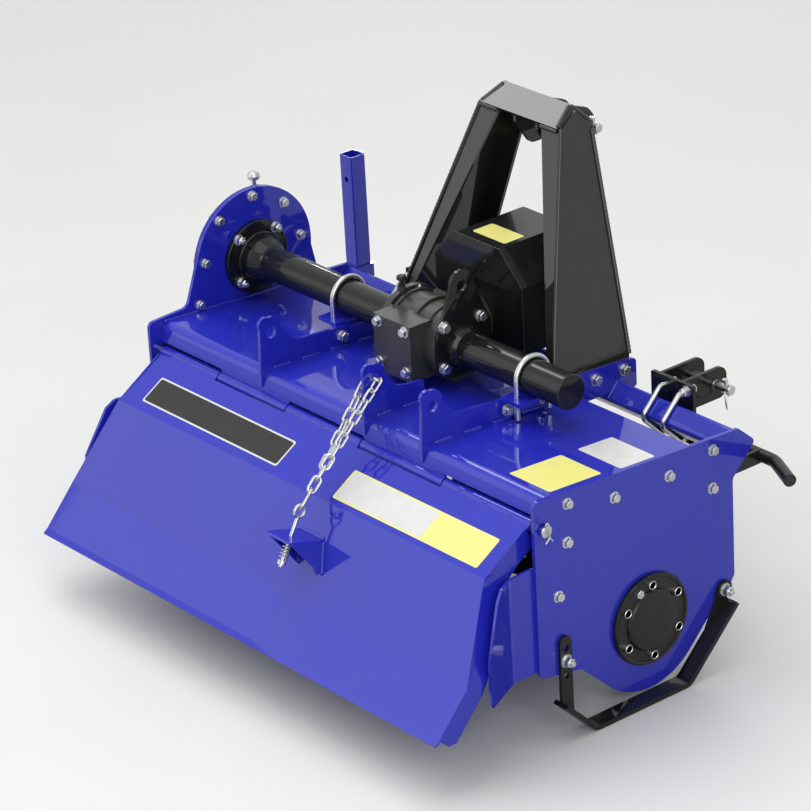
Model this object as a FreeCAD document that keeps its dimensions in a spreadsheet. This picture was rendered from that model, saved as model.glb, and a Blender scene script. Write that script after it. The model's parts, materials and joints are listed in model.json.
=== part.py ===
import FreeCAD, Part
import math
import os
from FreeCAD import Placement, Rotation, Vector

# Rotary tiller for a tractor's three-point hitch. Millimetres.
# X runs along the rotor to the right, seen from behind. Y runs forward to the tractor. Z is up.
# Outlines below are written from the rotor axis: y forward of it, z above it.
# The soles of the two skids stand on Z = 0.

DIMS = (
    # alias, millimetres or degrees, what it is
    ("shift_x", -25, "middle of the machine's width to the middle between the side plates"),
    ("rotor_y", 79.5, "rotor axis forward of the middle of the machine's length"),
    ("rotor_z", 170, "rotor axis above the ground"),
    ("half_in", 610, "half the width between the side plates"),
    ("side_t", 8, "side plate thickness"),
    ("deck_t", 5, "deck sheet thickness"),
    ("deck_z", 336, "deck top above the rotor axis, at the axis"),
    ("deck_fall", 0.055, "fall of the deck towards the front"),
    ("deck_front", 140, "front edge of the deck"),
    ("tube_y", 2, "axle tube forward of the rotor axis"),
    ("tube_z", 425, "axle tube above the rotor axis"),
    ("tube_r", 36.5, "axle tube radius"),
    ("tube_end", 408, "right end of the axle tube"),
    ("arch_r", 154, "top radius of the chain case"),
    ("case_low_r", 130, "bottom radius of the chain case"),
    ("cover_deep", 51, "depth of the chain case cover"),
    ("gear_x", -16, "gearbox middle"),
    ("gear_w", 116, "gearbox block width"),
    ("gear_rear", 98, "gearbox block behind the rotor axis"),
    ("lug_x", 77, "left face of the lifting lug plate"),
    ("lug_t", 8, "lifting lug plate thickness"),
    ("lug_eye_z", 560, "lifting eye above the rotor axis"),
    ("lug_eye_r", 13, "lifting eye radius"),
    ("beam_y", 258, "front beam middle forward of the rotor axis"),
    ("beam_z", 288, "front beam middle above the rotor axis"),
    ("beam_half", 35, "half diagonal of the front beam"),
    ("beam_wall", 4, "front beam wall"),
    ("beam_round", 8, "outer corner radius of the front beam"),
    ("clevis_y", 289.7, "rear face of the clevis plates forward of the rotor axis"),
    ("rib_x", 254, "inner face of the outer ribs"),
    ("rib_mid_x", 74, "left face of the chain rib"),
    ("rib_t", 8, "rib thickness"),
    ("leg_x", 254, "mast leg outer face at its foot"),
    ("leg_bend", 365, "height where a mast leg starts to lean"),
    ("leg_t", 8, "mast leg sheet"),
    ("leg_lean", 0.278, "inward lean of a mast leg for each mm of height"),
    ("foot_t", 8, "foot plate thickness"),
    ("ubolt_x", 291, "U-bolt from the middle"),
    ("ubolt_r", 6, "U-bolt rod radius"),
    ("shield_x", 6, "input shaft shield middle"),
    ("shield_half", 136, "half the width of the shield"),
    ("shield_top", 602, "top of the shield above the rotor axis"),
    ("shield_rear", 112, "rear face of the shield"),
    ("shield_long", 188, "length of the shield"),
    ("shield_t", 4, "shield sheet"),
    ("shaft_r", 17.5, "input shaft radius over the splines"),
    ("shaft_from", 92, "rear end of the input shaft"),
    ("shaft_long", 166, "length of the input shaft"),
    ("pin_y", 395, "hitch pins forward of the rotor axis"),
    ("pin_z", 312, "lower hitch pins above the rotor axis"),
    ("pin_r", 11, "lower hitch pin radius"),
    ("top_pin_z", 785, "top link pin above the rotor axis"),
    ("top_pin_r", 9.5, "top link pin radius"),
    ("ear_in", 336, "inner face of the inner clevis ear"),
    ("ear_gap", 57, "gap between the clevis ears"),
    ("ear_t", 8, "clevis sheet"),
    ("hinge_y", -266, "flap hinge behind the rotor axis"),
    ("hinge_z", 291, "flap hinge above the rotor axis"),
    ("knuckle_r", 13, "hinge tube radius"),
    ("rod_r", 8, "hinge rod radius"),
    ("flap_t", 4, "flap sheet"),
    ("flap_top_half", 590, "half the width of the flap at its hinge"),
    ("flap_low_half", 645, "half the width of the flap at its lip"),
    ("cheek", 46, "depth of the flap's bent ends"),
    ("skid_w", 38, "width of a skid sole"),
    ("sole_t", 10, "skid bar thickness"),
    ("arm_t", 8, "skid arm thickness"),
    ("guard_r", 13.5, "front guard tube radius"),
    ("stand_x", -643, "parking stand middle"),
    ("stand_y", 310, "parking stand forward of the rotor axis"),
    ("stand_w", 40, "parking stand tube width"),
    ("stand_top", 562, "top of the raised stand above the rotor axis"),
    ("stand_long", 622, "length of the stand tube"),
    ("rotor_tube_r", 38, "rotor tube radius"),
    ("rotor_half", 592, "half the length of the rotor tube"),
    ("stub_r", 24, "rotor stub radius"),
    ("rotor_flange_r", 70, "tine flange radius"),
    ("rotor_flange_t", 8, "tine flange thickness"),
    ("tine_r", 161, "radius that the tines sweep"),
    ("tine_t", 8, "tine thickness"),
    ("tine_reach", 44, "sideways reach of a tine's blade"),
    ("link_wire", 3, "chain wire radius"),
    ("link_inner", 29, "inner length of a chain link"),
    ("link_bow", 8, "chain link end radius on the wire's middle line"),
)

doc = FreeCAD.newDocument("RotaryTiller")
sheet = doc.addObject("Spreadsheet::Sheet", "Dims")
for row, (alias, number, note) in enumerate(DIMS, start=1):
    sheet.set("A%d" % row, note)
    sheet.set("B%d" % row, str(number))
    sheet.setAlias("B%d" % row, alias)
doc.recompute()

X_AXIS, Y_AXIS, Z_AXIS = Vector(1, 0, 0), Vector(0, 1, 0), Vector(0, 0, 1)
made = []


def size(alias):
    """The number that the sheet holds under this alias."""
    return float(sheet.get(alias))


SX, RY, RZ = size("shift_x"), size("rotor_y"), size("rotor_z")


def bind(thing, path, text):
    """Bind a property to an expression, in which a bare alias means the sheet's cell."""
    words = []
    for word in str(text).split():
        words.append("Dims." + word if word[0].isalpha() else word)
    thing.setExpression(path, " ".join(words))


def named(thing, label):
    """Mark an object as a sub-part that has a file of its own."""
    thing.Label = label
    made.append(thing)
    return thing


# Outlines: closed loops of lines and arcs with rounded corners.

def corner_arc(before, here, after, radius):
    """The two tangent points and the arc that round one corner."""
    u = (before - here).normalize()
    v = (after - here).normalize()
    angle = u.getAngle(v)
    reach = radius / math.tan(angle / 2)
    start, end = here + u * reach, here + v * reach
    middle = here + (u + v).normalize() * (radius / math.sin(angle / 2))
    inner = middle + (here - middle).normalize() * radius
    return start, inner, end


def arc_through(start, inner, end):
    """A circular arc through three points of a plane, always counter-clockwise."""
    ax, ay, bx, by, cx, cy = start.x, start.y, inner.x, inner.y, end.x, end.y
    d = 2 * (ax * (by - cy) + bx * (cy - ay) + cx * (ay - by))
    ux = ((ax * ax + ay * ay) * (by - cy) + (bx * bx + by * by) * (cy - ay)
          + (cx * cx + cy * cy) * (ay - by)) / d
    uy = ((ax * ax + ay * ay) * (cx - bx) + (bx * bx + by * by) * (ax - cx)
          + (cx * cx + cy * cy) * (bx - ax)) / d
    middle = Vector(ux, uy, 0)
    first = math.atan2(ay - uy, ax - ux)
    last = math.atan2(cy - uy, cx - ux)
    turn = (bx - ax) * (cy - ay) - (by - ay) * (cx - ax)
    if turn < 0:
        first, last = last, first
    if last <= first:
        last += 2 * math.pi
    circle = Part.Circle(middle, Z_AXIS, (start - middle).Length)
    return Part.ArcOfCircle(circle, first, last)


def loop(points, du=0.0, dv=0.0):
    """Geometry of a closed outline. A point is (u, v), (u, v, corner radius), or
    (u, v, "to", um, vm) for an arc that ends there and passes (um, vm)."""
    count = len(points)
    spots = [Vector(p[0] + du, p[1] + dv, 0) for p in points]
    starts, arcs, ends = [], [], []
    for i, p in enumerate(points):
        if len(p) == 3 and p[2]:
            a, m, b = corner_arc(spots[i - 1], spots[i], spots[(i + 1) % count], p[2])
            starts.append(a)
            arcs.append(arc_through(a, m, b))
            ends.append(b)
        else:
            starts.append(spots[i])
            arcs.append(None)
            ends.append(spots[i])
    geometry = []
    for i, p in enumerate(points):
        before = ends[i - 1]
        if len(p) == 5:
            geometry.append(arc_through(before, Vector(p[3] + du, p[4] + dv, 0), starts[i]))
        elif (starts[i] - before).Length > 1e-6:
            geometry.append(Part.LineSegment(before, starts[i]))
        if arcs[i]:
            geometry.append(arcs[i])
    return geometry


def ring(u, v, radius):
    """A full circle, mostly a hole in an outline."""
    return [Part.Circle(Vector(u, v, 0), Z_AXIS, radius)]


def bent_strip(points, thick):
    """Closed outline of a bent sheet: the given line and its parallel on the left hand."""
    spots = [Vector(p[0], p[1], 0) for p in points]
    radii = [p[2] if len(p) > 2 else 0 for p in points]
    far = []
    for i, here in enumerate(spots):
        if i == 0:
            t = (spots[1] - here).normalize()
            far.append((here + Vector(-t.y, t.x, 0) * thick, 0))
        elif i == len(spots) - 1:
            t = (here - spots[i - 1]).normalize()
            far.append((here + Vector(-t.y, t.x, 0) * thick, 0))
        else:
            t, w = (here - spots[i - 1]).normalize(), (spots[i + 1] - here).normalize()
            n, m = Vector(-t.y, t.x, 0), Vector(-w.y, w.x, 0)
            k = n + m
            shift = k * (2 * thick / k.dot(k))
            side = t.x * w.y - t.y * w.x
            radius = radii[i] - thick if side > 0 else radii[i] + thick
            far.append((here + shift, max(radius, 0) if radii[i] else 0))
    back = [(p.x, p.y, r) for p, r in reversed(far)]
    return [(p[0], p[1], p[2] if len(p) > 2 else 0) for p in points] + back


PLANES = {"YZ": "YZ_Plane", "XZ": "XZ_Plane", "XY": "XY_Plane"}
SHIFTS = {"YZ": (RY, RZ), "XZ": (SX, RZ), "XY": (SX, RY)}


def plane_of(body, name):
    """An origin plane of a body."""
    return [f for f in body.Origin.OriginFeatures if f.Role == PLANES[name]][0]


def pad(name, plane, loops, start, length, holes=()):
    """A sheet or block: an outline on a plane, padded along the plane's normal from start.
    YZ pads run to +X, XY pads to +Z and XZ pads to -Y. Start and length are expressions."""
    body = doc.addObject("PartDesign::Body", name)
    sketch = body.newObject("Sketcher::SketchObject", name + "_sketch")
    sketch.AttachmentSupport = [(plane_of(body, plane), "")]
    sketch.MapMode = "FlatFace"
    du, dv = SHIFTS[plane]
    if loops and isinstance(loops[0], tuple):
        loops = [loops]
    for points in loops:
        sketch.addGeometry(loop(points, du, dv), False)
    for u, v, radius in holes:
        sketch.addGeometry(ring(u + du, v + dv, radius), False)
    bind(sketch, ".AttachmentOffset.Base.z", start)
    feature = body.newObject("PartDesign::Pad", name + "_pad")
    feature.Profile = sketch
    bind(feature, "Length", length)
    return body


def turned(name, axis, points, at):
    """A turned piece: an outline of (along the axis, radius) about X, Y or Z, placed at
    three expressions."""
    body = doc.addObject("PartDesign::Body", name)
    sketch = body.newObject("Sketcher::SketchObject", name + "_sketch")
    sketch.AttachmentSupport = [(plane_of(body, "XY" if axis == "Y" else "XZ"), "")]
    sketch.MapMode = "FlatFace"
    if axis == "X":
        line = list(points)
    else:
        line = [(p[1], p[0]) + tuple(p[2:]) for p in points]
    sketch.addGeometry(loop(line), False)
    feature = body.newObject("PartDesign::Revolution", name + "_turn")
    feature.Profile = sketch
    feature.ReferenceAxis = (sketch, ["H_Axis" if axis == "X" else "V_Axis"])
    feature.Angle = 360
    bind(body, ".Placement.Base.x", at[0])
    bind(body, ".Placement.Base.y", at[1])
    bind(body, ".Placement.Base.z", at[2])
    return body


def rod(name, axis, radius, length, at):
    """A round bar along an axis. Radius, length and place are expressions."""
    bar = doc.addObject("Part::Cylinder", name)
    turn = {"X": Rotation(Y_AXIS, 90), "Y": Rotation(X_AXIS, -90), "Z": Rotation()}[axis]
    bar.Placement = Placement(Vector(), turn)
    bind(bar, "Radius", radius)
    bind(bar, "Height", length)
    bind(bar, ".Placement.Base.x", at[0])
    bind(bar, ".Placement.Base.y", at[1])
    bind(bar, ".Placement.Base.z", at[2])
    return bar


def block(name, sizes, at):
    """A box. Sizes and corner are expressions."""
    box = doc.addObject("Part::Box", name)
    for path, text in zip(("Length", "Width", "Height"), sizes):
        bind(box, path, text)
    for path, text in zip("xyz", at):
        bind(box, ".Placement.Base." + path, text)
    return box


def fused(name, pieces):
    joined = doc.addObject("Part::MultiFuse", name)
    joined.Shapes = pieces
    joined.Refine = True
    return joined


def cut(name, base, tool):
    left = doc.addObject("Part::Cut", name)
    left.Base, left.Tool = base, tool
    return left


def common(name, base, tool):
    left = doc.addObject("Part::Common", name)
    left.Base, left.Tool = base, tool
    return left


def group(name, pieces):
    """Like pieces of one body, kept as separate solids in one sub-part."""
    held = doc.addObject("Part::Compound", name)
    held.Links = pieces
    return held


def mirrored(name, source):
    """The same piece on the other side of the middle plane."""
    other = doc.addObject("Part::Mirroring", name)
    other.Source = source
    other.Normal = X_AXIS
    bind(other, "Base.x", "shift_x")
    return other


# Deck: a sheet bent down at its front edge and, in a round bend, to the hinge line.

def deck_top(y):
    """Height of the deck's top above the rotor axis."""
    return size("deck_z") - size("deck_fall") * y


front, rear = size("deck_front"), -254.0
deck_line = [(front, 288), (front, deck_top(front), 8), (rear, deck_top(rear), 24), (-266, 312)]
deck = named(pad("deck_body", "YZ", bent_strip(deck_line, size("deck_t")), "0 - half_in + shift_x",
                 "2 * half_in"), "deck")
under = [(front, 150), (front, deck_top(front)), (rear, deck_top(rear), 24), (-266, 312), (-266, 150)]
deck_below = pad("deck_below", "YZ", under, "0 - half_in + shift_x", "2 * half_in")

# Side plates: the same outline, but the left one carries the chain case and rises to an arch.
low = [(-290, -26, 14), (-262, -31, 20), (-182, -45, 12), (-116, -106, 0)]
low_arc = (113, -109, "to", -4, -157)
nose = [(172, -50), (214, -26, 12), (237, 10, 8), (237, 224, 14), (301, 288, 10), (256, 328, 6)]
right_outline = [(-290, 357, 14)] + low + [low_arc] + nose
side_right = pad("side_right_body", "YZ", right_outline, "half_in + shift_x", "side_t",
                 holes=[(0, 0, 62), (size("hinge_y"), size("hinge_z"), 8.3)])
named(side_right, "side_plate_right")
tube_y, tube_z, arch = size("tube_y"), size("tube_z"), size("arch_r")
left_outline = ([(-290, 357, 14)] + low + [low_arc] + nose
                + [(172, 333, 16), (tube_y + arch, tube_z - 20),
                   (tube_y - arch + 4, tube_z + 40, "to", tube_y + 20, tube_z + arch - 1),
                   (-186, 362, 18)])
side_left = pad("side_left_body", "YZ", left_outline, "0 - half_in - side_t + shift_x", "side_t",
                holes=[(size("hinge_y"), size("hinge_z"), 8.3)])
named(side_left, "chain_case_plate")


def case_loop(inset):
    """Outline of the chain case: a large arch over a smaller one, joined by tangents."""
    top, small = arch - inset, size("case_low_r") - inset
    lean = math.asin((top - small) / math.hypot(tube_y, tube_z))
    c, s = math.cos(lean), math.sin(lean)
    return [(-small * c, -small * s), (small * c, -small * s, "to", 0, -small),
            (tube_y + top * c, tube_z - top * s),
            (tube_y - top * c, tube_z - top * s, "to", tube_y, tube_z + top)]


named(pad("gasket_body", "YZ", case_loop(0), "0 - half_in - side_t - 3 + shift_x", "3"),
      "chain_case_gasket")
cover_rim = pad("cover_rim", "YZ", case_loop(0), "0 - half_in - side_t - 7 + shift_x", "4")
cover_dome = pad("cover_dome", "YZ", case_loop(22),
                 "0 - half_in - side_t - 7 - cover_deep + shift_x", "cover_deep + 1")
cover_boss = rod("cover_boss", "Z", "11", "30", ("shift_x - 646", "rotor_y + 40", "rotor_z + 530"))
named(fused("cover_body", [cover_rim, cover_dome, cover_boss]), "chain_case_cover")
named(turned("breather_body", "Z",
             [(0, 0), (0, 8), (8, 8), (8, 5), (20, 5), (22, 13), (30, 14, 3), (38, 10, 5), (38, 0)],
             ("shift_x - 646", "rotor_y + 40", "rotor_z + 560")), "case_breather")

# Axle tube from the chain case through the gearbox to its closed right end.
r = size("tube_r")
left_end, right_start = -size("half_in"), size("lug_x") + size("lug_t")
gear_left = size("gear_x") - 76
named(turned("tube_left_body", "X",
             [(left_end, 0), (left_end, 82, 3), (left_end + 12, 82, 3), (left_end + 12, 60),
              (left_end + 24, 60, 4), (left_end + 24, 54), (left_end + 40, 52), (left_end + 62, 41, 8),
              (left_end + 66, r), (gear_left, r), (gear_left, 0)],
             ("shift_x", "rotor_y + tube_y", "rotor_z + tube_z")), "axle_tube_left")
tube_end = size("tube_end")
named(turned("tube_right_body", "X",
             [(right_start, 0), (right_start, 47), (right_start + 10, 44, 4), (right_start + 16, r),
              (tube_end - 6, r), (tube_end - 6, r + 1), (tube_end, r + 1, 3), (tube_end, 0)],
             ("shift_x", "rotor_y + tube_y", "rotor_z + tube_z")), "axle_tube_right")

# Gearbox: a block over a drum on the tube's axis, a disc on its left and a snout in front.
gear_drum = rod("gear_drum", "X", "76", "lug_x - gear_x + 62",
                ("shift_x + gear_x - 62", "rotor_y + tube_y", "rotor_z + tube_z"))
gear_disc = rod("gear_disc", "X", "86", "14",
                ("shift_x + gear_x - 76", "rotor_y + tube_y", "rotor_z + tube_z"))
gear_block = block("gear_block", ("gear_w", "gear_rear + 66", "124"),
                   ("shift_x + gear_x - gear_w / 2", "rotor_y - gear_rear", "rotor_z + tube_z - 62"))
gear_snout = rod("gear_snout", "Y", "50", "62", ("shift_x + gear_x", "rotor_y + 50", "rotor_z + tube_z"))
gear_ring = rod("gear_ring", "Y", "62", "10",
                ("shift_x + gear_x", "rotor_y + shield_rear - 10", "rotor_z + tube_z"))
gear_boss = rod("gear_boss", "Z", "9", "30",
                ("shift_x + gear_x - 69", "rotor_y - 18", "rotor_z + tube_z + 60"))
gear_bore = rod("gear_bore", "Y", "shaft_r + 0.5", "60",
                ("shift_x + gear_x", "rotor_y + shaft_from - 6", "rotor_z + tube_z"))
gear_all = fused("gear_all", [gear_drum, gear_disc, gear_block, gear_snout, gear_ring, gear_boss])
named(cut("gear_body", gear_all, gear_bore), "gearbox")
named(block("gear_cover_body", ("gear_w", "8", "124"),
            ("shift_x + gear_x - gear_w / 2", "rotor_y - gear_rear - 8", "rotor_z + tube_z - 62")),
      "gearbox_cover")
named(turned("gear_breather_body", "Z",
             [(0, 0), (0, 7), (6, 7), (6, 4.5), (14, 4.5), (15, 10), (24, 10, 4), (24, 0)],
             ("shift_x + gear_x - 69", "rotor_y - 18", "rotor_z + tube_z + 90")), "gearbox_breather")

eye = size("lug_eye_z")
lug_line = [(tube_y - 30, eye + 4), (tube_y + 30, eye + 4, "to", tube_y, eye + 34),
            (tube_y + 58, tube_z + 68, 30), (tube_y + 72, tube_z + 40, 20), (tube_y + 72, tube_z - 60, 40),
            (tube_y - 72, tube_z - 60, 40), (tube_y - 72, tube_z + 40, 20), (tube_y - 58, tube_z + 68, 30)]
named(pad("lug_body", "YZ", lug_line, "lug_x + shift_x", "lug_t",
          holes=[(tube_y, eye, size("lug_eye_r"))]), "lift_lug_plate")

# Shield over the input shaft: an eight-sided hood, open in front and below.
half, top, mid = size("shield_half"), size("shield_top"), size("shield_x")
hood = [(mid - half, 385), (mid - half, top - 68), (mid - 68, top), (mid + 68, top),
        (mid + half, top - 68), (mid + half, 385)]
rear_face = pad("shield_face", "XZ", hood, "0 - rotor_y - shield_rear - shield_t", "shield_t",
                holes=[(size("gear_x"), tube_z, 32)])
walls = pad("shield_walls", "XZ", bent_strip(list(reversed(hood)), size("shield_t")),
            "0 - rotor_y - shield_rear - shield_long", "shield_long")
named(fused("shield_body", [rear_face, walls]), "pto_shield")
splines = []
for k in range(6):
    for turn, reach in ((-16, 1.0), (16, 1.0), (20, 0.84), (40, 0.84)):
        a = math.radians(60 * k + turn)
        splines.append((size("gear_x") + size("shaft_r") * reach * math.cos(a),
                        tube_z + size("shaft_r") * reach * math.sin(a)))
named(pad("shaft_body", "XZ", splines, "0 - rotor_y - shaft_from - shaft_long", "shaft_long"),
      "input_shaft")

# Mast: two leaning channel legs, a roof-shaped cap and the lugs of the top link.
leg_x, leg_t, lean = size("leg_x"), size("leg_t"), size("leg_lean")


def leg_section(z):
    """Channel section of the right leg at a height above the rotor axis."""
    up = max(z - size("leg_bend"), 0)
    outer, back, fore = leg_x - lean * up, 89 + 0.339 * up, 298.5 + 0.0635 * up
    rear_lip, front_lip = 20 + 0.0825 * up, 38 + 0.065 * up
    return [(outer, back), (outer, fore), (outer - front_lip, fore), (outer - front_lip, fore - 7),
            (outer - leg_t, fore - 7), (outer - leg_t, back + 7), (outer - rear_lip, back + 7),
            (outer - rear_lip, back)]


def lofted(name, sections):
    """A straight loft between outlines on two levels."""
    body = doc.addObject("PartDesign::Body", name)
    sketches = []
    for k, (z, points) in enumerate(sections):
        sketch = body.newObject("Sketcher::SketchObject", "%s_%d" % (name, k))
        sketch.AttachmentSupport = [(plane_of(body, "XY"), "")]
        sketch.MapMode = "FlatFace"
        bind(sketch, ".AttachmentOffset.Base.z", "rotor_z + %g" % z)
        sketch.addGeometry(loop(points, SX, RY), False)
        sketches.append(sketch)
    feature = body.newObject("PartDesign::AdditiveLoft", name + "_loft")
    feature.Profile = sketches[0]
    feature.Sections = sketches[1:]
    feature.Ruled = True
    return body


leg_low = pad("leg_low", "XY", leg_section(365), "rotor_z + 340", "leg_bend - 340")
leg_high = lofted("leg_high", ((365, leg_section(365)), (880, leg_section(880))))
leg_whole = fused("leg_whole", [leg_low, leg_high])
roof_under = [(196, 802), (296, 862), (368, 784), (368, 960), (196, 960)]
roof_block = pad("roof_block", "YZ", roof_under, "shift_x - 400", "800")
leg_right = named(cut("leg_right_body", leg_whole, roof_block), "mast_leg_right")
named(mirrored("leg_left_body", leg_right), "mast_leg_left")
roof = bent_strip([(332, 823), (296, 862), (246, 832)], -8)
cap_roof = pad("cap_roof", "YZ", roof, "shift_x - 140", "280")
cap_side = pad("cap_side", "XZ", [(-136, 800), (136, 800), (100, 880), (-100, 880)],
               "0 - rotor_y - 400", "200")
named(common("cap_body", cap_roof, cap_side), "mast_cap")
lug_side = [(262, 900), (262, 808, 8), (300, 752, 20), (395, 752, 30), (428, 785, 30), (400, 820, 24),
            (345, 840), (345, 900)]
lug_plates = []
for side in (-38, 30):
    lug_plates.append(pad("top_lug_%d" % (side + 38), "YZ", lug_side, "shift_x + %g" % side, "8",
                          holes=[(size("pin_y"), size("top_pin_z"), size("top_pin_r"))]))
roof_open = pad("roof_open", "YZ", [(196, 802), (296, 862), (332, 823), (345, 835), (345, 960),
                                    (196, 960)], "shift_x - 300", "600")
named(cut("top_lugs_body", group("top_lugs_pair", lug_plates), roof_open), "top_link_lugs")
tp = size("top_pin_r")
named(turned("top_pin_body", "X", [(-62, 0), (-62, 14, 2), (-54, 14), (-54, tp), (39, tp), (39, tp - 1),
                                   (41, tp - 1), (41, tp), (78, tp, 2), (78, 0)],
             ("shift_x", "rotor_y + pin_y", "rotor_z + top_pin_z")), "top_link_pin")

# Front beam: a square tube that lies on its edge, closed at its ends by the side plates.
by, bz, bh = size("beam_y"), size("beam_z"), size("beam_half")


def diamond(half, radius):
    """A square on its edge about the beam's middle."""
    return [(by - half, bz, radius), (by, bz - half, radius), (by + half, bz, radius),
            (by, bz + half, radius)]


beam_outer = diamond(bh, size("beam_round"))
beam_inner = diamond(bh - size("beam_wall") * math.sqrt(2), size("beam_round") - size("beam_wall"))
named(pad("beam_body", "YZ", [beam_outer, beam_inner], "0 - half_in + shift_x", "2 * half_in"),
      "front_beam")
beam_full = pad("beam_full", "YZ", beam_outer, "0 - half_in + shift_x", "2 * half_in")

# Foot plates carry the outer ribs on over the beam, outside the mast legs.
foot = [(62, 300), (62, 371.9), (310, 354.8, 10), (310, 291, 6), (by + 4, 291), (by - 18, 300)]
foot_raw = pad("foot_raw", "YZ", foot, "leg_x + shift_x", "foot_t")
foot_cut = cut("foot_cut", cut("foot_deck", foot_raw, deck_below), beam_full)
named(group("foot_pair", [foot_cut, mirrored("foot_left", foot_cut)]), "foot_plates")

# Ribs on the deck: a low strip with a tall eye at the rear.
rib = [(-268, 316), (-262, 440), (-238, 462, "to", -260, 459), (-208, 432, "to", -216, 455),
       (-178, 396, 30), (-150, 390, 20), (62, 372, 6), (62, 300), (-200, 300)]
short = [p for p in rib if p[0] < 0]
short = short[:-2] + [(-150, 390, 20), (-107, 386, 4), (-107, 300), (-200, 300)]
ribs = []
for name, line, place in (("rib_left", rib, "0 - rib_x - rib_t + shift_x"),
                          ("rib_mid", short, "rib_mid_x + shift_x"),
                          ("rib_right", rib, "rib_x + shift_x")):
    raw = pad(name + "_raw", "YZ", line, place, "rib_t", holes=[(-234, 428, 13)])
    ribs.append(cut(name, raw, deck_below))
named(group("ribs_all", ribs), "deck_ribs")

# Seats and U-bolts hold the axle tube to the ribs.
seat_top = tube_z - r
seat_flat = pad("seat_flat", "XY", [(size("rib_x") + 8, -58), (size("rib_x") + 66, -58),
                                    (size("rib_x") + 66, 58), (size("rib_x") + 8, 58)],
                "rotor_z + tube_z - tube_r - 8", "8",
                holes=[(size("ubolt_x"), tube_y - r - size("ubolt_r"), 6.5),
                       (size("ubolt_x"), tube_y + r + size("ubolt_r"), 6.5)])
seat_wall = pad("seat_wall", "YZ", [(-58, 342), (58, 342), (58, seat_top), (-58, seat_top)],
                "rib_x + rib_t + shift_x", "8")
seat = fused("seat_right", [seat_flat, seat_wall])
named(group("seat_pair", [seat, mirrored("seat_left", seat)]), "tube_seats")
ub = []
for side in (-1, 1):
    tag = "l" if side < 0 else "r"
    bow = doc.addObject("Part::Torus", "bow_" + tag)
    bow.Placement = Placement(Vector(), Rotation(Y_AXIS, Z_AXIS, X_AXIS, "ZXY"))
    bind(bow, "Radius1", "tube_r + ubolt_r")
    bind(bow, "Radius2", "ubolt_r")
    bow.Angle3 = 180
    bind(bow, ".Placement.Base.x", "shift_x + %d * ubolt_x" % side)
    bind(bow, ".Placement.Base.y", "rotor_y + tube_y")
    bind(bow, ".Placement.Base.z", "rotor_z + tube_z")
    legs = []
    for k, sign in enumerate(("-", "+")):
        legs.append(rod("ub_%s%d" % (tag, k), "Z", "ubolt_r", "83",
                        ("shift_x + %d * ubolt_x" % side,
                         "rotor_y + tube_y %s ( tube_r + ubolt_r )" % sign, "rotor_z + tube_z - 83")))
    ub.append(fused("ubolt_" + tag, [bow] + legs))
named(group("ubolts_all", ub), "u_bolts")

# Lower hitch: clevises bolted to the beam with bent bolts, each with its pin.
ear, gap, et = size("ear_in"), size("ear_gap"), size("ear_t")
plate_y = size("clevis_y")
py, pz = size("pin_y"), size("pin_z")
back_plate = pad("clevis_back", "XZ", [(ear - 8, 222, 4), (452, 222, 4), (452, 354, 4), (ear - 8, 354, 4)],
                 "0 - rotor_y - clevis_y - ear_t", "ear_t",
                 holes=[(378, 340, 6), (378, 236, 6), (434, 340, 6), (434, 236, 6)])
ears = []
for k, x in enumerate((ear, ear + et + gap)):
    ears.append(pad("clevis_ear%d" % k, "YZ",
                    [(plate_y + et, 278), (py + 30, 278, 22), (py + 30, 347, 22), (plate_y + et, 347)],
                    "shift_x + %g" % x, "ear_t", holes=[(py, pz, size("pin_r"))]))
clevis = named(fused("clevis_right_body", [back_plate] + ears), "hitch_clevis_right")
named(mirrored("clevis_left_body", clevis), "hitch_clevis_left")


def bent_rod(points, radius, bend):
    """A round rod along a path of straight runs with rounded bends."""
    edges, last = [], points[0]
    for before, here, after in zip(points, points[1:], points[2:]):
        u, v = (before - here).normalize(), (after - here).normalize()
        angle = u.getAngle(v)
        reach = bend / math.tan(angle / 2)
        start, end = here + u * reach, here + v * reach
        middle = here + (u + v).normalize() * (bend / math.sin(angle / 2))
        inner = middle + (here - middle).normalize() * bend
        edges.append(Part.LineSegment(last, start).toShape())
        edges.append(Part.Arc(start, inner, end).toShape())
        last = end
    edges.append(Part.LineSegment(last, points[-1]).toShape())
    path = Part.Wire(edges)
    face = Part.Wire([Part.Circle(points[0], points[1] - points[0], radius).toShape()])
    return path.makePipeShell([face], True, False)


def feature(name, shape):
    """A shape made with Part's own functions, for bent rods and tables of like pieces."""
    held = doc.addObject("Part::Feature", name)
    held.Shape = shape
    return held


bolt_r = 5.5
tip = by - bh - bolt_r * math.sqrt(2)
bolts = []
for side in (-1, 1):
    for x in (378, 434):
        run = [(306, 340), (tip + 52, 340), (tip, 288), (tip + 52, 236), (306, 236)]
        spots = [Vector(SX + side * x, RY + y, RZ + z) for y, z in run]
        bolts.append(bent_rod(spots, bolt_r, bolt_r + size("beam_round")))
named(feature("clevis_bolts_body", Part.makeCompound(bolts)), "clevis_bolts")
pin_r = size("pin_r")
hitch_pin = named(turned("pin_right_body", "X",
                         [(ear - 14, 0), (ear - 14, 17, 3), (ear, 17), (ear, pin_r), (410, pin_r),
                          (410, pin_r - 1), (413, pin_r - 1), (413, pin_r), (456, pin_r, 3), (456, 0)], ("shift_x", "rotor_y + pin_y", "rotor_z + pin_z")), "hitch_pin_right")
named(mirrored("pin_left_body", hitch_pin), "hitch_pin_left")

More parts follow.
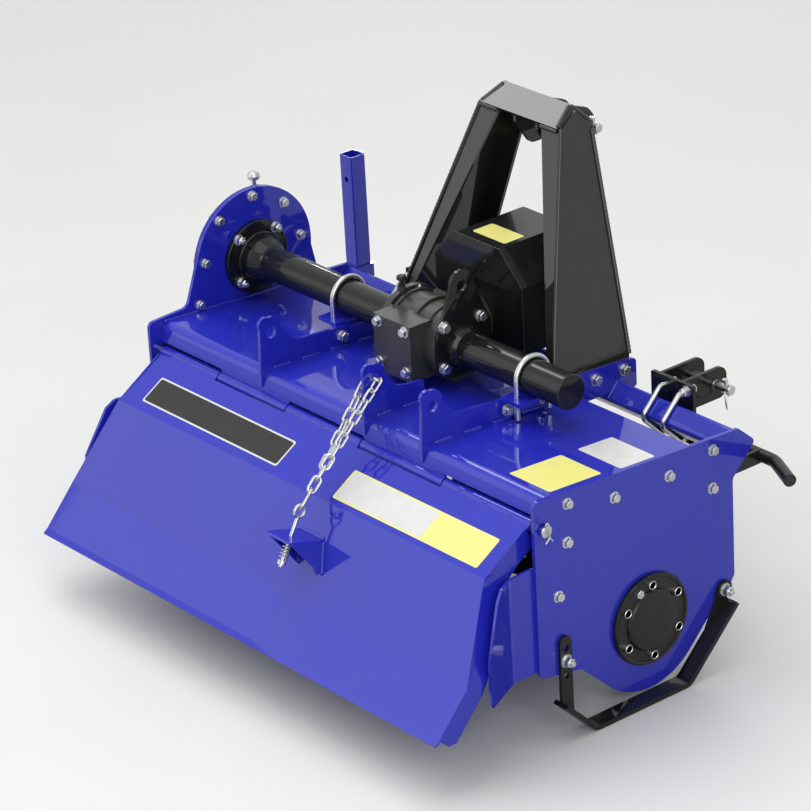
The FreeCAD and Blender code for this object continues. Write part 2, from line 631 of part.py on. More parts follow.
# Skids: a flat arm with three holes, a bent sole bar and a tab at the front bolt.
skid_x = "half_in + side_t + shift_x"
arm = pad("skid_arm", "YZ", [(-242, 48, 14), (-212, 48, 14), (-212, -124), (-242, -94)], skid_x, "arm_t",
          holes=[(-227, 22, 7), (-227, -38, 7)])
sole_line = [(-252, -84), (-176, -160, 16), (72, -160, 24), (206, -28)]
sole = pad("skid_sole", "YZ", bent_strip(sole_line, -size("sole_t")), skid_x, "skid_w")
tab = pad("skid_tab", "YZ", [(189, 8, 15), (222, 8, 15), (222, -14), (199, -35), (150, -83), (176, -30)],
          skid_x, "arm_t")
skid = named(fused("skid_right_body", [arm, sole, tab]), "skid_right")
named(mirrored("skid_left_body", skid), "skid_left")

# Front guard: a bent tube in front of the beam on two brackets.
gr = size("guard_r")
guard_path = [Vector(SX + x, RY + y, RZ + 242) for x, y in ((-602, 326), (648, 326), (732, 284))]
guard_tube = feature("guard_tube", bent_rod(guard_path, gr, 60))
guard_ears = []
for k, x in enumerate((-610, 602)):
    guard_ears.append(pad("guard_ear%d" % k, "YZ", [(196, 226, 8), (326, 226), (326, 256), (196, 256, 8)],
                          "shift_x + %g" % x, "8"))
named(fused("guard_body", [guard_tube] + guard_ears), "front_guard")

# Rotor bearings on both sides.
named(turned("hub_right_body", "X",
             [(600, 25), (600, 58, 3), (618, 58), (618, 98, 2), (628, 98, 4), (630, 76), (636, 70, 3),
              (636, 0), (626, 0), (626, 25)], ("shift_x", "rotor_y", "rotor_z")), "hub_bearing_right")
named(turned("hub_left_body", "X", [(-610, 0), (-610, 70, 2), (-600, 66, 3), (-600, 25), (-607, 25),
                                    (-607, 0)], ("shift_x", "rotor_y", "rotor_z")), "hub_bearing_left")

# Deflectors behind the side plates, bent outward so that the flap hangs between them.
flare_plan = bent_strip([(610, -218), (610, -350, 30), (661, -452)], -6)
flare_all = pad("flare_all", "XY", flare_plan, "rotor_z - 60", "300")
flare_side = pad("flare_side", "YZ", [(-218, -14, 20), (-218, 150, 20), (-290, 215, 20), (-384, 209, 16),
                                      (-404, 190), (-450, 86), (-450, -14, 10)], "shift_x + 500", "300")
deflector = common("deflect_right", flare_all, flare_side)
named(group("deflect_pair", [deflector, mirrored("deflect_left", deflector)]), "deflectors")

# Flap hinge: tubes on the deck and on the flap take turns on one rod.
KNUCKLES = (
    # left end, right end, carried by
    (-590, -397, "flap"), (-393, -167, "deck"), (-163, 73, "flap"), (77, 328, "deck"), (332, 590, "flap"),
)
hy, hz, kr = size("hinge_y"), size("hinge_z"), size("knuckle_r")
tubes = {"flap": [], "deck": []}
for k, (x0, x1, owner) in enumerate(KNUCKLES):
    bore = size("rod_r") + (0.7 if owner == "flap" else 0)
    tubes[owner].append(turned("knuckle%d" % k, "X", [(x0, bore), (x0, kr), (x1, kr), (x1, bore)],
                               ("shift_x", "rotor_y + hinge_y", "rotor_z + hinge_z")))
tabs = []
for k, (x0, x1, owner) in enumerate(KNUCKLES):
    if owner == "deck":
        tabs.append(pad("hinge_tab%d" % k, "YZ", [(hy, hz + 4), (hy + 5, hz + 4), (hy + 5, 315.5), (hy, 311.5)],
                        "shift_x + %g" % x0, "%g" % (x1 - x0)))
deck_tubes = fused("deck_tubes_raw", tubes["deck"] + tabs)
rod_room = rod("rod_room", "X", "rod_r", "1400", ("shift_x - 700", "rotor_y + hinge_y", "rotor_z + hinge_z"))
named(cut("deck_tubes_cut", cut("deck_tubes_body", deck_tubes, rod_room), deck), "deck_hinge_tubes")
named(rod("hinge_rod_body", "X", "rod_r", "1264",
          ("shift_x - 632", "rotor_y + hinge_y", "rotor_z + hinge_z")), "hinge_rod")

# Flap: one sheet with two bends, wider below, with its ends bent forward.
ft = size("flap_t")
panel_line = [(hy - 5.4, hz + 8.4), (-397, 223, 12), (-498, 44, 14), (-573, -39, 6), (-584, -47)]
sheet_all = pad("flap_sheet", "YZ", bent_strip(panel_line, ft), "shift_x - 660", "1320")
hi, lo = size("flap_top_half"), size("flap_low_half")
edge = [(hi, 340), (hi, 223), (lo, 44), (lo, -60)]
outline = [(-u, v) for u, v in edge] + list(reversed(edge))
flap_front = pad("flap_outline", "XZ", outline, "0 - rotor_y + 230", "400")
flap_trim = common("flap_trim", sheet_all, flap_front)
band = pad("cheek_band", "YZ", bent_strip([(-288, 292), (-397, 223, 12), (-498, 44, 14), (-573, -39)],
                                          size("cheek")), "shift_x - 660", "1320")
strips = [pad("cheek_strip_r", "XZ", bent_strip(edge, -ft), "0 - rotor_y + 230", "400"),
          pad("cheek_strip_l", "XZ", bent_strip([(-u, v) for u, v in edge], ft), "0 - rotor_y + 230", "400")]
cheeks = common("cheeks", band, group("cheek_strips", strips))
notches = []
for k, (x0, x1, owner) in enumerate(KNUCKLES):
    if owner == "deck":
        notches.append(rod("notch%d" % k, "X", "knuckle_r + 5", "%g" % (x1 - x0 + 8),
                           ("shift_x + %g" % (x0 - 4), "rotor_y + hinge_y", "rotor_z + hinge_z")))
for k, (x0, x1, owner) in enumerate(KNUCKLES):
    if owner == "flap":
        notches.append(rod("groove%d" % k, "X", "knuckle_r", "%g" % (x1 - x0),
                           ("shift_x + %g" % x0, "rotor_y + hinge_y", "rotor_z + hinge_z")))
flap_all = fused("flap_all", [flap_trim, cheeks])
named(cut("flap_body", flap_all, group("notches", notches)), "flap_panel")
named(group("flap_tubes_body", tubes["flap"]), "flap_hinge_tubes")

# Chain bracket on the flap: a web that slopes a little down, on two splayed three-cornered cheeks.
down = Vector(0, -498 + 397, 44 - 223).normalize()
out = Vector(0, down.z, -down.y)
root = Vector(SX, RY - 397, RZ + 223) + down * 72
bracket_x, bracket_w, sheet_t = 62.0, 78.0, 5.0


def on_flap(x, away, below):
    """A point from the bracket's upper left corner: to the right, off the panel, down along it."""
    return root + X_AXIS * x + out * away + down * below


def plate(spots, along):
    """A flat plate: a polygon swept by a vector."""
    return Part.Face(Part.makePolygon(spots + [spots[0]])).extrude(along)


left, right = bracket_x, bracket_x + bracket_w
web = plate([on_flap(left, 0, 0), on_flap(left, 85, 20), on_flap(left, 86.2, 24.9), on_flap(left, 0, 5)],
            X_AXIS * bracket_w)
for x in (left, right - sheet_t):
    cheek = plate([on_flap(x, 0, 2), on_flap(x, 85, 22), on_flap(x + 28, 0, 66)], X_AXIS * sheet_t)
    web = web.fuse(cheek)
bolt_foot = on_flap((left + right) / 2, 52, 12)
web = web.cut(Part.makeCylinder(5, 40, bolt_foot - down * 20, down))
named(feature("bracket_body", web.removeSplitter()), "chain_bracket")

# Eyebolt through the bracket's web, with its spring and nut below.
eye_at = bolt_foot - down * 52
eye_r, eye_wire = 13.0, 3.4
shank = Part.makeCylinder(4, 52 - 11 + 66, eye_at + down * 11, down)
eye_ring = Part.makeTorus(eye_r, eye_wire, eye_at, X_AXIS)
nut = Part.makeCylinder(9, 9, bolt_foot + down * 52, down)
named(feature("eyebolt_body", shank.fuse(eye_ring).fuse(nut).removeSplitter()), "eyebolt")
coil = Part.makeHelix(7.0, 42.0, 8.4)
coil.Placement = Placement(bolt_foot + down * 8, Rotation(Z_AXIS, down))
start = coil.Edges[0]
wire = Part.Wire([Part.Circle(start.Vertexes[0].Point, start.tangentAt(start.FirstParameter), 1.6).toShape()])
named(feature("spring_body", Part.Wire(coil.Edges).makePipeShell([wire], True, True)), "eyebolt_spring")

# Chain: through the rib's eye, down on both sides of the rib, and both ends on one long link that
# hangs in the eyebolt.
wire_r, inner, bow = size("link_wire"), size("link_inner"), size("link_bow")


def link(first, along, normal, long, radius):
    """One oval link. First is the wire's middle at its near end, long its inner length and radius
    that of its ends; the link lies square to normal."""
    side = along.cross(normal).normalize()
    a = first + along * radius
    b = first + along * (long + 2 * wire_r - radius)
    edges = [Part.Arc(a + side * radius, a - along * radius, a - side * radius).toShape(),
             Part.LineSegment(a - side * radius, b - side * radius).toShape(),
             Part.Arc(b - side * radius, b + along * radius, b + side * radius).toShape(),
             Part.LineSegment(b + side * radius, a + side * radius).toShape()]
    face = Part.Wire([Part.Circle(a + side * radius, along, wire_r).toShape()])
    return Part.Wire(edges).makePipeShell([face], True, False)


slack = 0.5
hang = Vector(SX + size("rib_mid_x") + size("rib_t") / 2, RY - 234, RZ + 428)
run = (eye_at - hang).normalize()
square = run.cross(X_AXIS).normalize()
hook = eye_at - run * eye_r
long_inner, long_bow = 42.0, 11.5
long_end = hook + run * (eye_wire + wire_r + 3.4)
long_start = long_end - run * (long_inner + 2 * wire_r)


def turned_about(vector, axis, degrees):
    return Rotation(axis, degrees).multVec(vector)


twist = 45.0
links = [link(hang - X_AXIS * (inner / 2 + wire_r) + square * 1.5, Vector(1, 0, 0), run, inner, bow),
         link(long_start, Vector(run), turned_about(square, run, twist), long_inner, long_bow)]
aside = turned_about(square, run, 90 + twist)
for side in (-1, 1):
    above = hang + X_AXIS * (side * (inner / 2 + wire_r)) + square * 1.5 - run * (2 * wire_r + slack)
    below = long_start + run * (2 * wire_r + 2.2) - aside * (side * 3.7)
    last = below - run * 34 - aside * (side * 8.2)
    way = (last - above).normalize()
    count = 2 * int(round(((last - above).Length / (inner - slack) - 1) / 2)) + 1
    step = (last - above).Length / count
    for k in range(count):
        normal = turned_about(way.cross(X_AXIS).normalize(), way, 90 * k + twist * k / count)
        links.append(link(above + way * (step * k), Vector(way), normal, step + slack, bow))
    links.append(link(last, (below - last).normalize(), aside, (below - last).Length - 2 * wire_r, bow))
named(feature("chain_body", Part.makeCompound(links)), "chain")

# Parking stand in its sleeve on the left side plate, drawn up.
sx, sy, sw = size("stand_x"), size("stand_y"), size("stand_w") / 2


def square(half):
    return [(sx - half, sy - half, 3), (sx + half, sy - half, 3), (sx + half, sy + half, 3),
            (sx - half, sy + half, 3)]


named(pad("sleeve_body", "XY", [square(sw + 5), square(sw + 0.5)], "rotor_z + 258", "44"), "stand_sleeve")
stand_tube = pad("stand_tube", "XY", [square(sw), square(sw - 3)], "rotor_z + stand_top - stand_long",
                 "stand_long")
stand_foot = block("stand_foot", ("90", "90", "6"),
                   ("shift_x + stand_x - 45", "rotor_y + stand_y - 45",
                    "rotor_z + stand_top - stand_long - 6"))
stand_hole = rod("stand_hole", "Y", "6.5", "80",
                 ("shift_x + stand_x", "rotor_y + stand_y - 40", "rotor_z + stand_top - 55"))
named(cut("stand_body", fused("stand_whole", [stand_tube, stand_foot]), stand_hole), "stand_leg")

# Rotor: a tube with stubs, six flanges and thirty-six bent tines.
half_r, tr, stub = size("rotor_half"), size("rotor_tube_r"), size("stub_r")
named(turned("rotor_tube_body", "X",
             [(-605, 0), (-605, stub), (-half_r, stub), (-half_r, tr), (half_r, tr), (half_r, stub),
              (620, stub), (620, 0)], ("shift_x", "rotor_y", "rotor_z")), "rotor_tube")
FLANGES = (
    # place along the rotor, turn of its tines in degrees
    (-530, 0), (-318, 24), (-106, 48), (106, 12), (318, 36), (530, 60),
)
flange_t = size("rotor_flange_t")
discs = []
for k, (x, turn) in enumerate(FLANGES):
    discs.append(turned("flange%d" % k, "X", [(x - flange_t / 2, tr), (x - flange_t / 2, 70),
                                              (x + flange_t / 2, 70), (x + flange_t / 2, tr)],
                        ("shift_x", "rotor_y", "rotor_z")))
named(group("rotor_discs", discs), "rotor_flanges")
scale = size("tine_r") / 161.0
blade_line = [(44, -17), (64, -21), (104, -13), (136, 6), (150, 30), (146, 66), (122, 84), (112, 66),
              (120, 36), (100, 16), (62, 20), (44, 17)]
wing_line = [(136, 6), (150, 30), (146, 66), (122, 84), (117.5, 77.5), (138, 62), (142, 31), (129.5, 11)]


def flat_blade(points, x, wide):
    spots = [Vector(x, u * scale, v * scale) for u, v in points]
    return Part.Face(Part.makePolygon(spots + [spots[0]])).extrude(Vector(wide, 0, 0))


tines = []
for x, turn in FLANGES:
    for k in range(6):
        side = 1 if k % 2 else -1
        face = x + side * flange_t / 2
        far = face + side * size("tine_t")
        tine = flat_blade(blade_line, min(face, far), size("tine_t"))
        wing = flat_blade(wing_line, min(far - side, far + side * size("tine_reach")), size("tine_reach") + 1)
        tine = tine.fuse(wing).removeSplitter()
        tine.rotate(Vector(), X_AXIS, turn + 60 * k)
        tine.translate(Vector(SX, RY, RZ))
        tines.append(tine)
named(feature("tines_body", Part.makeCompound(tines)), "tines")

doc.recompute()

broken = [o.Name for o in doc.Objects if "Invalid" in o.State or "Error" in o.State]
if broken:
    raise SystemExit("objects in error: " + ", ".join(broken))
os.makedirs("parts", exist_ok=True)
for thing in made:
    shape = thing.Shape
    if shape.isNull() or not shape.isValid() or shape.Volume <= 0:
        raise SystemExit("bad shape: " + thing.Label)
    shape.exportStep(os.path.join("parts", thing.Label + ".step"))
whole = Part.makeCompound([thing.Shape for thing in made]).BoundBox
print(len(made), "sub-parts", [round(v, 1) for v in (whole.XMin, whole.XMax, whole.YMin, whole.YMax,
                                                     whole.ZMin, whole.ZMax)])
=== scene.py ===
# %% [markdown]
# The tiller's large parts come ready made: every sheet, tube, link and blade is already a solid in
# its place. We load them first and keep them as they are. All that follows, paint, bolts, welds,
# light and camera, is built around them in metres, with Z up and the tractor towards +Y.

# %% Load the machine
import json
import math

import bmesh
import bpy
from mathutils import Matrix, Vector


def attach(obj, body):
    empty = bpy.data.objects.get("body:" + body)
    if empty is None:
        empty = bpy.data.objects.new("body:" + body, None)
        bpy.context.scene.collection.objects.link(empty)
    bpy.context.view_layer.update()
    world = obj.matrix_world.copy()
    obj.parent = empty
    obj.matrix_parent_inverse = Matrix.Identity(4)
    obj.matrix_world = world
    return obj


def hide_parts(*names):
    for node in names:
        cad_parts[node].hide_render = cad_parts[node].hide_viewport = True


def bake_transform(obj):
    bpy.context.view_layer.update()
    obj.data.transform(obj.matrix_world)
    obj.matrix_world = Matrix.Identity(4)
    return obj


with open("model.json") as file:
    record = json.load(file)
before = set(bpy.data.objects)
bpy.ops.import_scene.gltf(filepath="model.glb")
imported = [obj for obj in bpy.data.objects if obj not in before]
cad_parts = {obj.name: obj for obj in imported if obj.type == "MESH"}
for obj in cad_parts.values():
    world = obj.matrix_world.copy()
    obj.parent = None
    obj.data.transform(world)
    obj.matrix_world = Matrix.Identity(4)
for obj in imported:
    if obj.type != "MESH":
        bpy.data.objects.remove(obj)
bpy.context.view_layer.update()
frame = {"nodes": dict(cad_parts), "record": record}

nodes = frame["nodes"]

# %% [markdown]
# Workshop drawings of this machine measure from the middle of the rotor's axle: x to the right,
# y forwards, z up, in millimetres. One helper turns such a measure into a place in the scene, so
# that every table below can be read against the real machine.

# %% Places in millimetres from the rotor's middle
MM = 0.001


def spot(x, y, z):
    """A place on the machine, from millimetres off the rotor's middle."""
    return Vector((x - 25, y + 79.5, z + 170)) * MM


RIGHT, FORWARD, UP = Vector((1, 0, 0)), Vector((0, 1, 0)), Vector((0, 0, 1))
# y and z of the axle tube's middle line
TUBE_Y, TUBE_Z = 2, 425
print("rotor's middle stands", round(spot(0, 0, 0).z, 3), "m over the ground")

# %% [markdown]
# The machine stands on a pale workshop floor under wide lamps. A plane that runs far out serves as
# the floor. What the camera and the glossy paint see past it is a pale sky, set by Light Path, so
# that the background can be nearly white without pouring more light on the paint. For the same
# reason the floor is darker to bounced light than to the camera.

# %% Floor and sky
scene = bpy.context.scene
scene.view_settings.view_transform = "Standard"
BACKDROP = (0.86, 0.86, 0.83, 1)
# share of the backdrop in what the glossy paint mirrors
MIRRORED = 0.74


def pale_sky():
    """World: a soft grey light, and a paler backdrop where it is seen or mirrored."""
    world = bpy.data.worlds.new("pale_sky")
    world.use_nodes = True
    tree = world.node_tree
    tree.nodes.clear()
    light = tree.nodes.new("ShaderNodeBackground")
    light.inputs["Color"].default_value = (0.93, 0.95, 1.0, 1)
    light.inputs["Strength"].default_value = 0.38
    seen = tree.nodes.new("ShaderNodeBackground")
    seen.inputs["Color"].default_value = BACKDROP
    seen.inputs["Strength"].default_value = 1.0
    path = tree.nodes.new("ShaderNodeLightPath")
    either = tree.nodes.new("ShaderNodeMath")
    either.operation = "MAXIMUM"
    tree.links.new(path.outputs["Is Camera Ray"], either.inputs[0])
    tree.links.new(path.outputs["Is Transmission Ray"], either.inputs[1])
    mirrored = tree.nodes.new("ShaderNodeMath")
    mirrored.operation = "MULTIPLY"
    mirrored.inputs[1].default_value = MIRRORED
    tree.links.new(path.outputs["Is Glossy Ray"], mirrored.inputs[0])
    both = tree.nodes.new("ShaderNodeMath")
    both.operation = "MAXIMUM"
    tree.links.new(either.outputs[0], both.inputs[0])
    tree.links.new(mirrored.outputs[0], both.inputs[1])
    mix = tree.nodes.new("ShaderNodeMixShader")
    tree.links.new(both.outputs[0], mix.inputs["Fac"])
    tree.links.new(light.outputs[0], mix.inputs[1])
    tree.links.new(seen.outputs[0], mix.inputs[2])
    out = tree.nodes.new("ShaderNodeOutputWorld")
    tree.links.new(mix.outputs[0], out.inputs["Surface"])
    return world


def pale_floor():
    """A wide plane just under the soles, in a pale, faintly mottled finish."""
    shape = bmesh.new()
    bmesh.ops.create_grid(shape, x_segments=1, y_segments=1, size=30)
    bmesh.ops.translate(shape, verts=shape.verts, vec=(0, 0, -0.0012))
    mesh = bpy.data.meshes.new("workshop_floor")
    shape.to_mesh(mesh)
    shape.free()
    floor = bpy.data.objects.new("workshop_floor", mesh)
    scene.collection.objects.link(floor)
    finish = bpy.data.materials.new("floor_finish")
    finish.use_nodes = True
    tree = finish.node_tree
    skin = tree.nodes["Principled BSDF"]
    skin.inputs["Roughness"].default_value = 0.55
    where = tree.nodes.new("ShaderNodeTexCoord")
    cloud = tree.nodes.new("ShaderNodeTexNoise")
    cloud.inputs["Scale"].default_value = 1.6
    tint = tree.nodes.new("ShaderNodeMix")
    tint.data_type = "RGBA"
    tint.inputs[6].default_value = (0.76, 0.76, 0.73, 1)
    tint.inputs[7].default_value = (0.81, 0.81, 0.785, 1)
    path = tree.nodes.new("ShaderNodeLightPath")
    seen = tree.nodes.new("ShaderNodeMix")
    seen.data_type = "RGBA"
    seen.inputs[6].default_value = (0.55, 0.55, 0.52, 1)
    tree.links.new(where.outputs["Object"], cloud.inputs["Vector"])
    tree.links.new(cloud.outputs["Fac"], tint.inputs["Factor"])
    tree.links.new(path.outputs["Is Camera Ray"], seen.inputs["Factor"])
    tree.links.new(tint.outputs[2], seen.inputs[7])
    tree.links.new(seen.outputs[2], skin.inputs["Base Color"])
    mesh.materials.append(finish)


scene.world = pale_sky()
pale_floor()
print("backdrop colour", BACKDROP[:3])

# %% [markdown]
# The hall's window wall reaches every corner of the floor evenly, so it is one very wide sun, half
# way up on the machine's left, which the paint doesn't mirror. Soft lamps add to it: a small one
# that only the mast's cap mirrors towards the camera, one over the machine, one at the left rear
# and one for the right side plate. Three small ones far in front leave bright specks in the deck
# and streaks along the axle tubes.

# %% Lamps
LAMPS = (
    # name, place in metres, watts, width in metres
    ("lamp_above", (0.2, -0.4, 3.4), 22, 2.6),
    ("lamp_over_cap", (-2.1, 0.5, 3.2), 9, 0.8),
    ("lamp_left_rear", (-2.4, -3.2, 2.2), 16, 3.0),
    ("lamp_camera_side", (3.4, -1.6, 1.8), 50, 2.8),
    ("spot_left", (-3.94, 2.96, 2.27), 2.0, 0.11),
    ("spot_middle", (-3.39, 2.90, 2.27), 2.0, 0.11),
    ("spot_right", (-2.95, 3.15, 2.27), 2.0, 0.11),
)


def hang(name, light, place):
    """A lamp at a place, turned to the machine."""
    lamp = bpy.data.objects.new(name, light)
    lamp.location = place
    toward = Vector((0, 0, 0.4)) - lamp.location
    lamp.rotation_euler = toward.to_track_quat("-Z", "Y").to_euler()
    scene.collection.objects.link(lamp)
    return lamp


windows = bpy.data.lights.new("window_wall", "SUN")
windows.energy = 2.0
windows.angle = math.radians(100)
hang("window_wall", windows, (-4.0, -0.6, 4.6)).visible_glossy = False
for name, place, watts, width in LAMPS:
    light = bpy.data.lights.new(name, "AREA")
    light.energy = watts
    light.size = width
    hang(name, light, place)
    print(name, watts, "W")

# %% [markdown]
# The camera stands behind the machine's right side, a little above it and far off, so lines that
# run away from it hardly draw together. A long lens gives that. Turn, tilt and roll are set one
# after the other, each about one axis.

# %% Camera
eye_turn, eye_tilt, eye_roll = math.radians(51.382), math.radians(24.913), math.radians(-3.2154)
eye = bpy.data.cameras.new("camera")
eye.sensor_fit = "HORIZONTAL"
eye.sensor_width = 36
eye.lens = 177.42
camera = bpy.data.objects.new("camera", eye)
camera.matrix_world = (
    Matrix.Translation((5.78253, -4.65281, 3.91891))
    @ Matrix.Rotation(eye_turn, 4, "Z")
    @ Matrix.Rotation(math.pi / 2 - eye_tilt, 4, "X")
    @ Matrix.Rotation(eye_roll, 4, "Z")
)
scene.collection.objects.link(camera)
scene.camera = camera
print("camera", round((camera.location - spot(0, 0, 0)).length, 2), "m away, lens", eye.lens)

# %% [markdown]
# Paint is never quite flat. A spray coat dries with a faint ripple, and hands, rain and dust leave
# soft patches that shine less. Both effects are wanted on every paint, so each is a node group that
# is built once and put into a material with its own numbers.

# %% Shared surface effects


def new_group(name, inputs, outputs):
    """An empty shader group with named float sockets."""
    group = bpy.data.node_groups.new(name, "ShaderNodeTree")
    for label, value in inputs:
        socket = group.interface.new_socket(name=label, in_out="INPUT", socket_type="NodeSocketFloat")
        socket.default_value = value
    for label in outputs:
        group.interface.new_socket(name=label, in_out="OUTPUT", socket_type="NodeSocketFloat")
    return group, group.nodes.new("NodeGroupInput"), group.nodes.new("NodeGroupOutput")


def spray_ripple():
    """Height of a sprayed coat's ripple: one broad and one fine noise."""
    group, given, result = new_group("spray_ripple", (("Scale", 260.0), ("Fine", 0.3)), ("Height",))
    where = group.nodes.new("ShaderNodeTexCoord")
    broad = group.nodes.new("ShaderNodeTexNoise")
    broad.inputs["Detail"].default_value = 1
    fine = group.nodes.new("ShaderNodeTexNoise")
    fine.inputs["Scale"].default_value = 1400
    fine.inputs["Detail"].default_value = 1
    blend = group.nodes.new("ShaderNodeMix")
    group.links.new(where.outputs["Object"], broad.inputs["Vector"])
    group.links.new(where.outputs["Object"], fine.inputs["Vector"])
    group.links.new(given.outputs["Scale"], broad.inputs["Scale"])
    group.links.new(given.outputs["Fine"], blend.inputs["Factor"])
    group.links.new(broad.outputs["Fac"], blend.inputs[2])
    group.links.new(fine.outputs["Fac"], blend.inputs[3])
    group.links.new(blend.outputs[0], result.inputs["Height"])
    return group


def handling_marks():
    """A mask, 0 to 1, of soft patches: clouds broken up by short streaks that run down."""
    group, given, result = new_group("handling_marks", (("Scale", 7.0), ("Contrast", 2.5)), ("Mask",))
    where = group.nodes.new("ShaderNodeTexCoord")
    cloud = group.nodes.new("ShaderNodeTexNoise")
    cloud.inputs["Detail"].default_value = 5
    stretch = group.nodes.new("ShaderNodeMapping")
    stretch.inputs["Scale"].default_value = (30, 30, 3)
    streak = group.nodes.new("ShaderNodeTexNoise")
    streak.inputs["Scale"].default_value = 1.5
    streak.inputs["Detail"].default_value = 3
    product = group.nodes.new("ShaderNodeMath")
    product.operation = "MULTIPLY"
    shifted = group.nodes.new("ShaderNodeMath")
    shifted.operation = "SUBTRACT"
    shifted.inputs[1].default_value = 0.16
    steep = group.nodes.new("ShaderNodeMath")
    steep.operation = "MULTIPLY"
    steep.use_clamp = True
    group.links.new(where.outputs["Object"], cloud.inputs["Vector"])
    group.links.new(where.outputs["Object"], stretch.inputs["Vector"])
    group.links.new(stretch.outputs[0], streak.inputs["Vector"])
    group.links.new(given.outputs["Scale"], cloud.inputs["Scale"])
    group.links.new(cloud.outputs["Fac"], product.inputs[0])
    group.links.new(streak.outputs["Fac"], product.inputs[1])
    group.links.new(product.outputs[0], shifted.inputs[0])
    group.links.new(shifted.outputs[0], steep.inputs[0])
    group.links.new(given.outputs["Contrast"], steep.inputs[1])
    group.links.new(steep.outputs[0], result.inputs["Mask"])
    return group


def cast_skin():
    """Height of a sand casting: small rounded grains over broad unevenness."""
    group, given, result = new_group("cast_skin", (("Scale", 420.0),), ("Height",))
    where = group.nodes.new("ShaderNodeTexCoord")
    grain = group.nodes.new("ShaderNodeTexVoronoi")
    broad = group.nodes.new("ShaderNodeTexNoise")
    broad.inputs["Scale"].default_value = 70
    blend = group.nodes.new("ShaderNodeMix")
    blend.inputs["Factor"].default_value = 0.45
    group.links.new(where.outputs["Object"], grain.inputs["Vector"])
    group.links.new(where.outputs["Object"], broad.inputs["Vector"])
    group.links.new(given.outputs["Scale"], grain.inputs["Scale"])
    group.links.new(grain.outputs["Distance"], blend.inputs[2])
    group.links.new(broad.outputs["Fac"], blend.inputs[3])
    group.links.new(blend.outputs[0], result.inputs["Height"])
    return group


RIPPLE, MARKS, CAST = spray_ripple(), handling_marks(), cast_skin()
print("effects:", RIPPLE.name, MARKS.name, CAST.name)

# %% [markdown]
# Nearly everything is painted, in a deep blue or in black, and both coats are glossy. One function
# builds such a paint: two near colours mixed by the marks, a roughness that the marks raise, the
# ripple as a bump, and a clear coat on top that mirrors the workshop.

# %% Paints


def surface(name):
    """A new material with its tree and Principled shader."""
    material = bpy.data.materials.new(name)
    material.use_nodes = True
    return material, material.node_tree, material.node_tree.nodes["Principled BSDF"]


def place_group(tree, group, **values):
    """A group node with some of its inputs set."""
    node = tree.nodes.new("ShaderNodeGroup")
    node.node_tree = group
    for label, value in values.items():
        node.inputs[label].default_value = value
    return node


def two_colours(tree, skin, mask, clean, worn):
    """Base Color between two colours, by a mask."""
    mix = tree.nodes.new("ShaderNodeMix")
    mix.data_type = "RGBA"
    mix.inputs[6].default_value = (*clean, 1)
    mix.inputs[7].default_value = (*worn, 1)
    tree.links.new(mask, mix.inputs["Factor"])
    tree.links.new(mix.outputs[2], skin.inputs["Base Color"])


def roughness_range(tree, skin, mask, least, most):
    """Roughness between two values, by a mask."""
    spread = tree.nodes.new("ShaderNodeMapRange")
    spread.inputs["To Min"].default_value = least
    spread.inputs["To Max"].default_value = most
    tree.links.new(mask, spread.inputs["Value"])
    tree.links.new(spread.outputs[0], skin.inputs["Roughness"])


def bump(tree, skin, height, depth, strength):
    """A bump from a height, its depth in metres."""
    relief = tree.nodes.new("ShaderNodeBump")
    relief.inputs["Strength"].default_value = strength
    relief.inputs["Distance"].default_value = depth
    tree.links.new(height, relief.inputs["Height"])
    tree.links.new(relief.outputs[0], skin.inputs["Normal"])


def gloss_paint(name, clean, worn, rough, coat, ripple=0.00003, fine=0.3):
    """Sprayed enamel: colour underneath, and a hard clear coat that mirrors."""
    material, tree, skin = surface(name)
    marks = place_group(tree, MARKS, Scale=6.0, Contrast=2.4)
    wave = place_group(tree, RIPPLE, Scale=210.0, Fine=fine)
    two_colours(tree, skin, marks.outputs["Mask"], clean, worn)
    roughness_range(tree, skin, marks.outputs["Mask"], rough, rough + 0.16)
    bump(tree, skin, wave.outputs["Height"], ripple, 0.5)
    skin.inputs["Specular IOR Level"].default_value = 0.12
    skin.inputs["Coat Weight"].default_value = coat
    skin.inputs["Coat Roughness"].default_value = 0.035
    skin.inputs["Coat IOR"].default_value = 1.55
    return material


blue_paint = gloss_paint("blue_enamel", (0.014, 0.020, 0.47), (0.021, 0.029, 0.42), 0.45, 1.0)
black_paint = gloss_paint("black_enamel", (0.006, 0.006, 0.006), (0.011, 0.011, 0.011), 0.40, 0.6)
mast_paint = gloss_paint("mast_enamel", (0.012, 0.012, 0.011), (0.018, 0.017, 0.015), 0.40, 1.0)
tine_paint = gloss_paint("tine_enamel", (0.014, 0.014, 0.015), (0.035, 0.031, 0.027), 0.42, 0.2,
                         ripple=0.00012, fine=0.5)
print("paints ready")

# %% [markdown]
# Pins, bolts and the chain are zinc plated. Zinc is bright but not a mirror: its fine crystals and
# the tumbling in the plating drum make it patchy. The gearbox is a painted casting, and the seal
# and the vent caps are rubber and plastic, matt with a faint grain.

# %% Metals, casting and rubber


def plated(name, clean, worn, least, most):
    """Zinc plate with patches of crystals."""
    material, tree, skin = surface(name)
    skin.inputs["Metallic"].default_value = 1.0
    marks = place_group(tree, MARKS, Scale=60.0, Contrast=3.0)
    wave = place_group(tree, RIPPLE, Scale=900.0, Fine=0.6)
    two_colours(tree, skin, marks.outputs["Mask"], clean, worn)
    roughness_range(tree, skin, marks.outputs["Mask"], least, most)
    bump(tree, skin, wave.outputs["Height"], 0.00005, 0.5)
    return material


